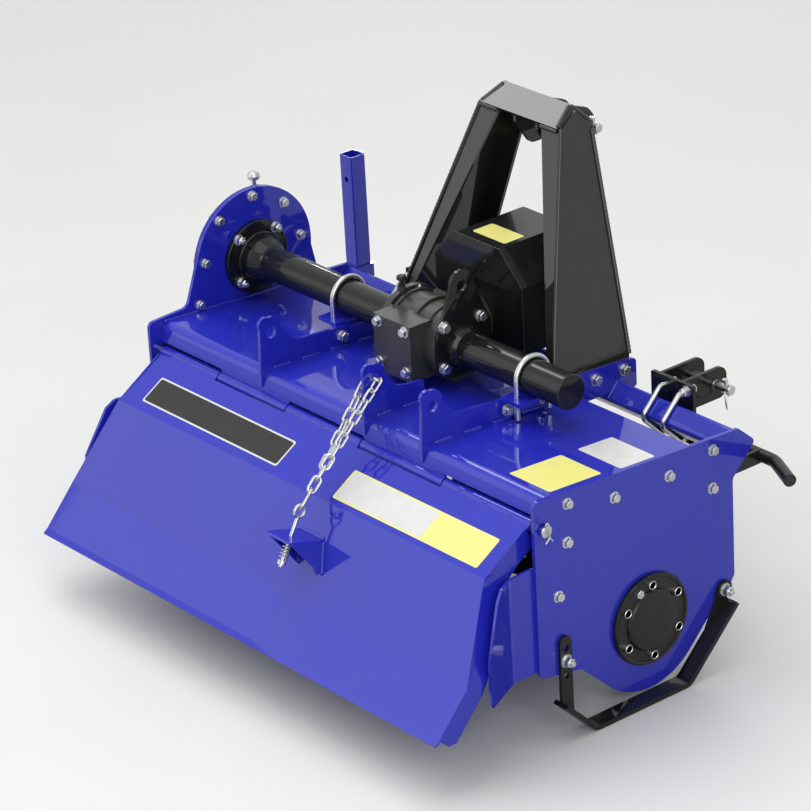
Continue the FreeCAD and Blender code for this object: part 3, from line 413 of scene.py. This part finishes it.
def casting(name, clean, worn, rough):
    """A painted sand casting."""
    material, tree, skin = surface(name)
    marks = place_group(tree, MARKS, Scale=14.0, Contrast=2.5)
    grain = place_group(tree, CAST, Scale=420.0)
    two_colours(tree, skin, marks.outputs["Mask"], clean, worn)
    roughness_range(tree, skin, marks.outputs["Mask"], rough, rough + 0.15)
    bump(tree, skin, grain.outputs["Height"], 0.0006, 0.5)
    skin.inputs["Coat Weight"].default_value = 0.3
    skin.inputs["Coat Roughness"].default_value = 0.25
    return material


def rubbery(name, clean, worn, rough):
    """Rubber or moulded plastic."""
    material, tree, skin = surface(name)
    marks = place_group(tree, MARKS, Scale=30.0, Contrast=2.0)
    grain = place_group(tree, RIPPLE, Scale=1200.0, Fine=0.7)
    two_colours(tree, skin, marks.outputs["Mask"], clean, worn)
    roughness_range(tree, skin, marks.outputs["Mask"], rough, rough + 0.12)
    bump(tree, skin, grain.outputs["Height"], 0.0001, 0.5)
    return material


zinc = plated("bright_zinc", (0.72, 0.73, 0.74), (0.55, 0.56, 0.57), 0.24, 0.42)
gear_casting = casting("gearbox_casting", (0.026, 0.026, 0.024), (0.045, 0.044, 0.041), 0.42)
seal_rubber = rubbery("seal_rubber", (0.012, 0.012, 0.012), (0.024, 0.023, 0.022), 0.6)
vent_plastic = rubbery("vent_plastic", (0.010, 0.010, 0.011), (0.018, 0.018, 0.018), 0.38)
print("metals ready")

# %% [markdown]
# Each large part takes its finish from the slot it was given in the workshop's list, with a few
# exceptions by name. The solids are loose facets, so a small geometry node tree joins them and
# shades them smooth, with a crease kept wherever two faces meet at more than 28 degrees.

# %% Finish the large parts


def joined_and_smooth():
    """Modifier tree: merge the facets, shade smooth, keep sharp creases."""
    tree = bpy.data.node_groups.new("joined_and_smooth", "GeometryNodeTree")
    tree.interface.new_socket(name="Geometry", in_out="INPUT", socket_type="NodeSocketGeometry")
    tree.interface.new_socket(name="Geometry", in_out="OUTPUT", socket_type="NodeSocketGeometry")
    given, result = tree.nodes.new("NodeGroupInput"), tree.nodes.new("NodeGroupOutput")
    merge = tree.nodes.new("GeometryNodeMergeByDistance")
    merge.inputs["Distance"].default_value = 0.00002
    angle = tree.nodes.new("GeometryNodeInputMeshEdgeAngle")
    sharp = tree.nodes.new("FunctionNodeCompare")
    sharp.operation = "GREATER_THAN"
    sharp.inputs[1].default_value = math.radians(28)
    faces = tree.nodes.new("GeometryNodeSetShadeSmooth")
    edges = tree.nodes.new("GeometryNodeSetShadeSmooth")
    edges.domain = "EDGE"
    edges.inputs["Shade Smooth"].default_value = False
    tree.links.new(given.outputs[0], merge.inputs["Geometry"])
    tree.links.new(merge.outputs[0], faces.inputs["Geometry"])
    tree.links.new(faces.outputs[0], edges.inputs["Geometry"])
    tree.links.new(angle.outputs["Unsigned Angle"], sharp.inputs[0])
    tree.links.new(sharp.outputs[0], edges.inputs["Selection"])
    tree.links.new(edges.outputs[0], result.inputs[0])
    return tree


SLOT_FINISH = {
    "blue_paint": blue_paint,
    "black_paint": black_paint,
    "grey_paint": mast_paint,
    "zinc": zinc,
    "cast": gear_casting,
    "gasket": seal_rubber,
    "black_plastic": vent_plastic,
}
OWN_FINISH = {
    "tines": tine_paint,
    "rotor_tube": tine_paint,
    "rotor_flanges": tine_paint,
    "axle_tube_left": black_paint,
    "axle_tube_right": black_paint,
    "lift_lug_plate": black_paint,
    "hitch_clevis_right": black_paint,
    "hitch_clevis_left": black_paint,
    "case_breather": zinc,
}
smoothing = joined_and_smooth()
for entry in frame["record"]["subparts"]:
    part = nodes[entry["node"]]
    part.data.materials.clear()
    part.data.materials.append(OWN_FINISH.get(entry["node"], SLOT_FINISH[entry["material_slot"]]))
    part.modifiers.new("smooth", "NODES").node_group = smoothing

# %% [markdown]
# Bolts hold the side plates, the chain case, the bearings and the mast. A bolt head is a six-sided
# prism whose corners are turned off at the top, on a washer. It is built along Z from two cones
# with six sides, then swung to the bolt's direction and moved to its seat. All the bolts of one
# place share a mesh, because they are one bag of the same parts.

# %% Bolt heads
# in millimetres: a washer's thickness, and how far a piece reaches into its seat
WASHER, SINK = 2, 0.3


def swing(place, direction):
    """The matrix that stands a Z-built shape on a place, pointing in a direction."""
    turn = Vector(direction).to_track_quat("Z", "Y").to_matrix().to_4x4()
    return Matrix.Translation(place) @ turn


def puck(shape, matrix, low, high, radius, top=None, sides=24):
    """A disc from one height to another, in millimetres, tapered where a top radius is given."""
    top = radius if top is None else top
    middle = Matrix.Translation((0, 0, (low + high) / 2 * MM))
    made = bmesh.ops.create_cone(shape, cap_ends=True, segments=sides, radius1=radius * MM,
                                 radius2=top * MM, depth=(high - low) * MM, matrix=matrix @ middle)
    return made["verts"]


def hex_head(shape, matrix, low, high, across):
    """A hexagon of a width across its flats, with its corners turned off at the top."""
    corner = across / math.sqrt(3)
    shoulder = high - 0.09 * across
    puck(shape, matrix, low, shoulder, corner, sides=6)
    puck(shape, matrix, shoulder, high, corner, corner * 0.86, sides=6)


def bolt(shape, place, direction, across=17, washer=True):
    """A bolt head with its washer, seated on a place."""
    matrix = swing(place, direction)
    base = 0
    if washer:
        puck(shape, matrix, -SINK, WASHER, across * 0.72)
        base = WASHER
    hex_head(shape, matrix, base, base + across * 0.58, across)


def nut(shape, place, direction, across=17, stud=6):
    """A nut on its washer, with the end of the rod standing out of it."""
    matrix = swing(place, direction)
    top = WASHER + across * 0.8
    rod_r, chamfer = across * 0.31, 0.8
    puck(shape, matrix, -SINK, WASHER, across * 0.74)
    hex_head(shape, matrix, WASHER, top, across)
    puck(shape, matrix, WASHER, top + stud, rod_r, sides=16)
    puck(shape, matrix, top + stud, top + stud + chamfer, rod_r, rod_r - chamfer, sides=16)


def finish_piece(shape, name, material, body, smooth_below=40):
    """Turns a bmesh into a piece of the machine. One that hangs between two bodies gets none here."""
    bmesh.ops.recalc_face_normals(shape, faces=shape.faces)
    for face in shape.faces:
        face.smooth = True
    for edge in shape.edges:
        if len(edge.link_faces) == 2 and edge.calc_face_angle() > math.radians(smooth_below):
            edge.smooth = False
    mesh = bpy.data.meshes.new(name)
    shape.to_mesh(mesh)
    shape.free()
    mesh.materials.append(material)
    piece = bpy.data.objects.new(name, mesh)
    scene.collection.objects.link(piece)
    if body:
        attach(piece, body)
    print(name, len(mesh.polygons), "faces")
    return piece


# y and z of the bolts in a foot plate, and of those that hold a tube's seat to its rib
FOOT_ROW = ((196, 342), (275, 339))
SEAT_ROW = ((-50, 361), (46, 356))
SIDE_BOLTS = {
    # name: (x of the face, side they look to, width over the flats, y and z of each)
    "side_plate_bolts": (618, 1, 17, ((182, 307), (179, 224), (63, 292), (-83, 297), (-205, 327),
                                      (-209, 245), (-236, 137))),
    "case_rim_nuts": (-610, 1, 17, ((4, 563), (87, 524), (127, 436), (-87, 532), (-131, 447),
                                    (-153, 357))),
    "case_cover_bolts": (-625, -1, 15, ((4, 567), (94, 532), (142, 437), (-88, 533), (-137, 448),
                                        (-137, 320), (137, 320), (-130, 190), (130, 190), (-122, 60),
                                        (122, 60), (-84, -84), (0, -119), (84, -84))),
    "case_plate_bolts": (-618, -1, 17, ((-205, 320), (182, 300), (-209, 235), (179, 224), (-236, 137))),
    "foot_plate_bolts_right": (262, 1, 19, FOOT_ROW),
    "foot_plate_bolts_left": (-262, -1, 19, FOOT_ROW),
    "rib_nuts_left": (-254, 1, 19, SEAT_ROW),
    "seat_bolts_left": (-270, -1, 19, SEAT_ROW),
    "seat_bolts_right": (270, 1, 19, SEAT_ROW),
    "rib_nuts_right": (254, -1, 19, SEAT_ROW),
    "lug_plate_bolts": (85, 1, 19, ((-52, 484), (46, 480), (-55, 394), (44, 390))),
    "stand_sleeve_bolt": (-668, -1, 15, ((310, 280),)),
}
for name, (x, side, across, places) in SIDE_BOLTS.items():
    shape = bmesh.new()
    for y, z in places:
        bolt(shape, spot(x, y, z), RIGHT * side, across)
    finish_piece(shape, name, zinc, "frame")

# %% [markdown]
# The other screws look along the machine, up or down, or end in nuts with the thread standing out.
# A second table lists them with their directions. The skids' and the U-bolts' ends carry nuts.

# %% Nuts and rear screws
shape = bmesh.new()
for x, z in ((-57, 474), (27, 474), (-57, 384), (27, 384)):
    bolt(shape, spot(x, -106, z), -FORWARD, 17)
finish_piece(shape, "gearbox_cover_bolts", zinc, "frame")

NUTS = {
    # name: (place, direction, width over the flats) of each
    "tube_flange_nuts": [((-598, TUBE_Y + a, TUBE_Z + 5 + b), RIGHT, 17)
                         for a in (-50, 50) for b in (-50, 50)],
    "skid_nuts": [((side * 624, y, z), RIGHT * side, 19) for side in (-1, 1)
                  for y, z in ((-227, -6), (203, -10))],
    "u_bolt_nuts": [((side * 291, y, 380), -UP, 15) for side in (-1, 1) for y in (-40.5, 44.5)],
    "clevis_rear_nuts": [((side * 434, 289.7, 340), -FORWARD, 17) for side in (-1, 1)],
    "clevis_nuts": [((side * x, 297.7, z), FORWARD, 15) for side in (-1, 1) for x in (378, 434)
                    for z in (340, 236)],
}
for name, places in NUTS.items():
    shape = bmesh.new()
    for place, way, across in places:
        nut(shape, spot(*place), way, across, stud=1 if name == "clevis_nuts" else 6)
    finish_piece(shape, name, zinc, "frame")

# %% [markdown]
# The rotor's end bearing is closed by a cap on a flange with six socket screws and one bright
# breather screw. A socket screw is a round head with a hole for its key. The hole's wall comes
# from an inset of the top face that is pushed down.

# %% Socket screws of the bearing


def socket_screw(shape, place, direction, radius, tall):
    """A round head with a key hole, its edge softened."""
    matrix = swing(place, direction)
    puck(shape, matrix, -SINK, tall - 1, radius)
    rim = puck(shape, matrix, tall - 1, tall, radius, radius - 1)
    around = {f for v in rim for f in v.link_faces}
    lid = max(around, key=lambda f: f.calc_center_median().dot(direction))
    bmesh.ops.inset_individual(shape, faces=[lid], thickness=(radius - 1) * 0.56 * MM)
    bmesh.ops.translate(shape, verts=lid.verts, vec=direction * -0.0045)


screw_ring = 78
shape = bmesh.new()
for k in range(6):
    angle = math.radians(30 + 60 * k)
    seat = spot(625, screw_ring * math.cos(angle), screw_ring * math.sin(angle))
    socket_screw(shape, seat, RIGHT, 9.5, 9)
finish_piece(shape, "bearing_screws", zinc, "frame")
shape = bmesh.new()
bolt(shape, spot(625, -33, 69), RIGHT, 17, washer=False)
finish_piece(shape, "bearing_vent", zinc, "frame")
shape = bmesh.new()
for y, z in ((60, 30), (-50, -30)):
    bolt(shape, spot(-663, y, z), -RIGHT, 19)
finish_piece(shape, "case_oil_plugs", zinc, "frame")

# %% [markdown]
# The hitch pins are kept by lynch pins: a short peg with a spring ring that snaps over. The hinge
# rod has a plain head and a split pin at each end. Rings are a small circle spun once round; the
# spin merges its last ring with its first so that no seam stays open.

# %% Lynch pins and split pins


def wire_ring(shape, middle, axis, across, wire):
    """A wire ring: a circle of the wire's radius, spun round an axis."""
    axis = Vector(axis).normalized()
    side = axis.orthogonal().normalized()
    start = middle + side * across * MM
    circle = bmesh.ops.create_circle(shape, segments=8, radius=wire * MM,
                                     matrix=swing(start, axis.cross(side)))["verts"]
    edges = list({e for v in circle for e in v.link_edges})
    bmesh.ops.spin(shape, geom=circle + edges, cent=middle, axis=axis, angle=math.tau, steps=28,
                   use_merge=True, use_duplicate=False)


def peg(shape, start, end, radius, sides=12):
    """A round peg between two places."""
    matrix = swing(start, end - start)
    length = (end - start).length / MM
    puck(shape, matrix, 0, length - 0.8, radius, sides=sides)
    puck(shape, matrix, length - 0.8, length, radius, radius - 0.7, sides=sides)


LYNCH = {
    # name: (x of the peg, y and z of the hitch pin's middle line)
    "lynch_pin_right": (441, 395, 312),
    "lynch_pin_left": (-441, 395, 312),
    "lynch_pin_top": (62, 395, 785),
}
for name, (x, y, z) in LYNCH.items():
    side = 1 if x > 0 else -1
    shape = bmesh.new()
    peg(shape, spot(x, y - 5, z + 19), spot(x, y + 5, z - 17), 3.6)
    puck(shape, swing(spot(x, y - 5, z + 19), UP), -1, 4, 6.5)
    wire_ring(shape, spot(x + side * 4, y - 8, z - 21), (0.61, 0.71, 0.1), 19, 1.9)
    finish_piece(shape, name, zinc, "frame")

shape = bmesh.new()
for side in (-1, 1):
    rod_end = swing(spot(side * 628, -266, 291), RIGHT * side)
    puck(shape, rod_end, -4, 0, 13)
    puck(shape, rod_end, 0, 1.2, 13, 11.5)
    fork = spot(side * 634, -264, 280)
    peg(shape, spot(side * 634, -269, 306), fork, 1.7)
    peg(shape, fork, spot(side * 634, -276, 270), 1.6)
    peg(shape, fork, spot(side * 636, -258, 271), 1.6)
    wire_ring(shape, spot(side * 634, -270, 309), RIGHT, 3.4, 1.6)
finish_piece(shape, "hinge_rod_ends", zinc, "frame")

# %% [markdown]
# Sheets are joined by arc welds that show as scaly beads under the paint. A bead here is one small
# circle, extruded step by step along the joint. Every second step is a little smaller and the bead
# wanders a hair, which gives the scales without any texture.

# %% Weld beads


def weld(shape, start, end, radius):
    """A painted weld bead between two places, its scales about 2.4 mm long."""
    along = end - start
    steps = max(3, int(along.length / (2.4 * MM)))
    ring = bmesh.ops.create_circle(shape, cap_ends=True, segments=8, radius=radius * 0.7 * MM,
                                   matrix=swing(start, along))["verts"]
    edges = list({e for v in ring for e in v.link_edges})
    middle, side = start.copy(), along.orthogonal().normalized()
    for k in range(steps):
        made = bmesh.ops.extrude_edge_only(shape, edges=edges)["geom"]
        ring = [g for g in made if isinstance(g, bmesh.types.BMVert)]
        edges = [g for g in made if isinstance(g, bmesh.types.BMEdge)
                 and g.verts[0] in ring and g.verts[1] in ring]
        move = along / steps + side * (radius * 0.12 * MM * math.sin(k * 1.7))
        middle += move
        size = (1.2, 1 / 1.2)[k % 2] if k < steps - 1 else 0.6
        bmesh.ops.translate(shape, verts=ring, vec=move)
        bmesh.ops.scale(shape, verts=ring, vec=(size,) * 3, space=Matrix.Translation(-middle))
    bmesh.ops.contextual_create(shape, geom=edges)


def stitches(start, end, count, share=0.6):
    """Evenly spaced parts of a line, each a stitch of weld."""
    step = (end - start) / count
    return [(start + step * (k + (1 - share) / 2), start + step * (k + (1 + share) / 2))
            for k in range(count)]


# height of the deck's top over the rotor's middle, and how much it falls for each step forward
DECK_Z, DECK_FALL = 336, 0.055


def deck_top(x, y):
    """A place on the deck's sheet."""
    return spot(x, y, DECK_Z - DECK_FALL * y)


# both ends of the deck's outer rib welds, and where a mast leg bends inward and by how much
REAR, FORE = -250, 130
LEG_X, LEG_Z, LEG_LEAN = 254, 365, 0.278
mast_welds, blue_welds = [], []
for side in (-1, 1):
    for foot_y, rise_y, head in ((89, 0.339, 838), (298.5, 0.0635, 818)):
        up = head - LEG_Z
        top = spot(side * (LEG_X - LEG_LEAN * up), foot_y + rise_y * up, head)
        mast_welds.append((spot(side * LEG_X, foot_y, LEG_Z), top))
    mast_welds.append((spot(side * 117, 246, 839), spot(side * 100, 294, 869)))
    mast_welds.append((spot(side * 101, 298, 868), spot(side * 119, 327, 836)))
    mast_welds.append((spot(side * 117, 243, 832), spot(side * 66, 243, 832)))
    blue_welds += [(spot(side * 263, 228, 290), spot(side * 263, 257, 321)),
                   (spot(side * 263, 259, 321), spot(side * 263, 289, 290))]
    for x in (side * 263.5, side * 252.5):
        blue_welds += stitches(deck_top(x, REAR), deck_top(x, FORE), 5)
for x in (72.5, 83.5):
    blue_welds += stitches(deck_top(x, REAR), deck_top(x, -110), 2)
blue_welds.append((deck_top(-608.5, REAR), deck_top(-608.5, FORE)))
for x in (-365, -300, -235, 110, 190, 280):
    blue_welds.append((spot(x - 14, -263, 309), spot(x + 14, -263, 309)))
for name, joints, radius, paint, slot in (("mast_welds", mast_welds, 6.5, mast_paint, "grey_paint"),
                                          ("frame_welds", blue_welds, 5.2, blue_paint, "blue_paint")):
    shape = bmesh.new()
    for start, end in joints:
        weld(shape, start, end, radius)
    finish_piece(shape, name, paint, "frame", smooth_below=75)

# %% [markdown]
# The flap is one sheet with two bends, so a place on it is easiest told along the sheet. Two little
# frames do that: one for the strip above the first bend and one for the broad panel under it. The
# deck and the shield's top have one each too. A frame gives a place from x, the way down the sheet,
# and a lift off it.

# %% Frames on the sheets
PANELS = {
    # name: (top edge at x = 0, way down the sheet)
    "upper": (spot(0, -271.4, 299.4), Vector((0, -0.8545, -0.5195))),
    "lower": (spot(0, -397, 223), Vector((0, -0.4914, -0.8709))),
    "deck": (spot(0, 0, DECK_Z), Vector((0, -1, DECK_FALL)).normalized()),
    "shield": (spot(0, 0, 602), Vector((0, -1, 0))),
}


def on_panel(panel, x, down, lift=0.0):
    """A place on a sheet."""
    top, way = PANELS[panel]
    return top + (RIGHT * x + way * down + way.cross(RIGHT) * lift) * MM


def panel_frame(panel, x, down, lift):
    """The matrix that lays a flat Z-up shape on a sheet."""
    way = PANELS[panel][1]
    out = way.cross(RIGHT)
    turn = Matrix((RIGHT, out.cross(RIGHT), out)).transposed().to_4x4()
    return Matrix.Translation(on_panel(panel, x, down, lift)) @ turn


for panel in PANELS:
    print(panel, "looks to", [round(c, 2) for c in PANELS[panel][1].cross(RIGHT)])

# %% [markdown]
# The real machine carries stickers. Ours are left blank: the same places, sizes and colours, with
# nothing on them. A sticker is a thin slab with rounded corners; a bordered one is a smaller slab
# on a larger. Vinyl is smooth and a little glossy, and it yellows and scuffs unevenly.

# %% Blank stickers


def vinyl(name, clean, worn):
    """Printed vinyl film."""
    material, tree, skin = surface(name)
    marks = place_group(tree, MARKS, Scale=25.0, Contrast=2.0)
    wave = place_group(tree, RIPPLE, Scale=120.0, Fine=0.2)
    two_colours(tree, skin, marks.outputs["Mask"], clean, worn)
    roughness_range(tree, skin, marks.outputs["Mask"], 0.28, 0.42)
    bump(tree, skin, wave.outputs["Height"], 0.00004, 0.5)
    return material


def sticker(name, panel, x, down, wide, tall, lift, film, body):
    """A blank sticker on a sheet, its middle at x and down."""
    corner, thick = 5, 0.35
    shape = bmesh.new()
    bmesh.ops.create_cube(shape, size=1)
    bmesh.ops.scale(shape, verts=shape.verts, vec=(wide * MM, tall * MM, thick * MM))
    upright = [e for e in shape.edges if abs((e.verts[0].co - e.verts[1].co).z) > thick * MM * 0.5]
    bmesh.ops.bevel(shape, geom=upright, offset=corner * MM, segments=5, profile=0.5,
                    affect="EDGES", material=-1)
    bmesh.ops.transform(shape, verts=shape.verts, matrix=panel_frame(panel, x, down, lift))
    finish_piece(shape, name, film, body)


white_film = vinyl("white_vinyl", (0.74, 0.74, 0.71), (0.62, 0.62, 0.58))
dark_film = vinyl("dark_vinyl", (0.020, 0.020, 0.022), (0.030, 0.030, 0.031))
yellow_film = vinyl("yellow_vinyl", (0.90, 0.85, 0.25), (0.80, 0.75, 0.27))
STICKERS = (
    # name, sheet, middle x, way down, width, height, lift, film, body
    ("long_sticker_edge", "upper", -301.5, 93.5, 457, 67, 0.15, white_film, "flap"),
    ("long_sticker_face", "upper", -301.5, 93.5, 449, 59, 0.45, dark_film, "flap"),
    ("strip_sticker_edge", "upper", 334.5, 96, 441, 74, 0.15, yellow_film, "flap"),
    ("strip_sticker_face", "upper", 250, 96, 262, 66, 0.45, white_film, "flap"),
    ("deck_sticker_yellow", "deck", 532, 156, 119, 136, 0.15, yellow_film, "frame"),
    ("deck_sticker_white", "deck", 536, -1, 126, 92, 0.15, white_film, "frame"),
    ("shield_sticker", "shield", 11, -167, 101, 55, 0.15, yellow_film, "frame"),
)
for name, panel, x, down, wide, tall, lift, film, body in STICKERS:
    sticker(name, panel, x, down, wide, tall, lift, film, body)

# %% [markdown]
# Some small things follow: weld beads round the chain's bracket and on the flap's hinge tubes, the
# thin edge where the shield's sheets meet, and a dark disc in the guard tube's end, painted shade
# that stands for the shade inside the open tube.

# %% Flap welds, shield seams and painted shade in the guard's end
# x of both ends of each of the flap's hinge tubes
FLAP_TUBES = ((-590, -397), (-163, 73), (332, 590))
shape = bmesh.new()
for start, end in (((62, 71), (140, 71)), ((141.5, 76), (168.5, 136)), ((68.5, 76), (94, 134))):
    weld(shape, on_panel("lower", *start, 1), on_panel("lower", *end, 1), 5.5)
for left, right in FLAP_TUBES:
    first, last = (on_panel("upper", x, 3.5, 0.4) for x in (left + 12, right - 12))
    for start, end in stitches(first, last, 3, 0.16):
        weld(shape, start, end, 4.2)
finish_piece(shape, "flap_welds", blue_paint, "flap", smooth_below=75)

shape = bmesh.new()
for start, end in (((-66, 111, 603), (78, 111, 603)), ((78, 111, 603), (143, 111, 535)),
                   ((-66, 111, 603), (-131, 111, 535)), ((143, 111, 535), (143, 111, 390))):
    weld(shape, spot(*start), spot(*end), 1.3)
finish_piece(shape, "shield_seams", mast_paint, "frame", smooth_below=75)

# a dark rubber disc in the guard tube's end is painted shade: it stands for the shade inside the open
# tube
guard_way = Vector((84, -42, 0)).normalized()
shape = bmesh.new()
puck(shape, swing(spot(732, 284, 242), guard_way), -2, 0.5, 11.2)
finish_piece(shape, "guard_tube_painted_shade", seal_rubber, "frame")

# %% [markdown]
# Some castings and pressings on the outside are finer than the plain solids that carry them. The
# right bearing has a raised rim, a sunk ring for its screws and a low crowned cap. The chain's cover
# is pressed from sheet: a flat rim with bolts, and a dish whose shoulders slope in. Both replace
# their plain solids. The bearing is a half profile spun round its axle. The cover starts as the
# hull of two thin discs, and its face then rises in insets, each with its own width and height.

# %% Bearing and chain cover


def turned(shape, outline, middle, axis):
    """A profile of (along the axis, radius) pairs, spun into a closed shape."""
    side = Vector(axis).orthogonal().normalized()
    points = [shape.verts.new(middle + (Vector(axis) * a + side * r) * MM) for a, r in outline]
    edges = [shape.edges.new(pair) for pair in zip(points, points[1:])]
    bmesh.ops.spin(shape, geom=points + edges, cent=middle, axis=axis, angle=math.tau, steps=64,
                   use_merge=True, use_duplicate=False)
    bmesh.ops.remove_doubles(shape, verts=shape.verts, dist=0.00005)


HUB_OUTLINE = (
    # along the axle from the rotor's middle, radius
    (600.2, 0), (600.2, 57), (602, 58), (618, 58), (618, 96.5), (619.5, 98), (626, 98), (628.5, 96.5),
    (629, 93), (627.5, 90), (625.5, 89), (625, 87), (625, 68), (625.5, 66.5), (631, 64.5), (633.5, 62),
    (635, 56), (635.8, 40), (636, 0),
)
shape = bmesh.new()
turned(shape, HUB_OUTLINE, spot(0, 0, 0), RIGHT)
hub = finish_piece(shape, "bearing_cap_right", black_paint, "frame", smooth_below=30)
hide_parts("hub_bearing_right")

shape = bmesh.new()
for middle, radius in ((spot(-623, TUBE_Y, TUBE_Z), 154), (spot(-623, 0, 0), 130)):
    bmesh.ops.create_cone(shape, cap_ends=True, segments=72, radius1=radius * MM, radius2=radius * MM,
                          depth=4 * MM, matrix=swing(middle, -RIGHT))
hull = bmesh.ops.convex_hull(shape, input=shape.verts)
inside = {g for g in hull["geom_interior"] + hull["geom_unused"] if isinstance(g, bmesh.types.BMVert)}
bmesh.ops.delete(shape, geom=list(inside), context="VERTS")
bmesh.ops.dissolve_limit(shape, angle_limit=0.01, verts=shape.verts, edges=shape.edges)
bmesh.ops.recalc_face_normals(shape, faces=shape.faces)
lid = [f for f in shape.faces if f.normal.x < -0.99]
for inward, rise in ((22, 0), (5, 3), (8, 14), (10, 12), (12, 6), (16, 3)):
    bmesh.ops.inset_region(shape, faces=lid, thickness=inward * MM, depth=rise * MM)
puck(shape, swing(spot(-646, 40, 500), UP), 0, 59, 12, 11)
cover = finish_piece(shape, "pressed_chain_cover", blue_paint, "frame", smooth_below=25)
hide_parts("chain_case_cover")

# %% [markdown]
# The gearbox is a rough casting in two halves. Ribs run round its drum where the halves meet and
# beside the left flange, and small screws hold the flange. The ribs are rings spun round the tube's
# axis, from a profile with softened corners.

# %% Gearbox ribs
shape = bmesh.new()
for x, radius, half in ((-70, 81, 4), (-8, 82, 5), (34, 80, 4)):
    turned(shape, ((x - half, 70), (x - half, radius - 1.5), (x - half + 1.5, radius),
                   (x + half - 1.5, radius), (x + half, radius - 1.5), (x + half, 70), (x - half, 70)),
           spot(0, TUBE_Y, TUBE_Z), RIGHT)
finish_piece(shape, "gearbox_ribs", gear_casting, "frame", smooth_below=30)
shape = bmesh.new()
for degrees in (15, 75, 135):
    angle = math.radians(degrees)
    seat = spot(-78, TUBE_Y + 80 * math.cos(angle), TUBE_Z + 80 * math.sin(angle))
    bolt(shape, seat, RIGHT, 10, washer=False)
finish_piece(shape, "gearbox_flange_screws", zinc, "frame")

# %% [markdown]
# The chain hangs from the rib's eye to the flap's eyebolt. A copy of its links, merged and shaded
# smooth, stands for it. It is fixed to no body, so it stays where it hangs.

# %% Hanging chain
links = nodes["chain"]
shape = bmesh.new()
shape.from_mesh(links.data)
bmesh.ops.remove_doubles(shape, verts=shape.verts, dist=0.00001)
hanging = finish_piece(shape, "hanging_chain", zinc, None)
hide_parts("chain")
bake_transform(hanging)

# %% [markdown]
# Behind the flap's hinge tubes the deck has strips that hang from its underside and keep soil out of
# the hinge. Each is a thin plate with softened edges, a little longer than its tube.

# %% Hinge strips
shape = bmesh.new()
for left, right in FLAP_TUBES:
    made = bmesh.ops.create_cube(shape, size=1)["verts"]
    bmesh.ops.scale(shape, verts=made, vec=((right - left + 4) * MM, 3 * MM, 60 * MM))
    bmesh.ops.translate(shape, verts=made, vec=spot((left + right) / 2, -249, 311.5))
    bmesh.ops.bevel(shape, geom=list({e for v in made for e in v.link_edges}), offset=1 * MM, segments=2,
                    profile=0.5, affect="EDGES", material=-1)
finish_piece(shape, "hinge_strips", blue_paint, "frame")
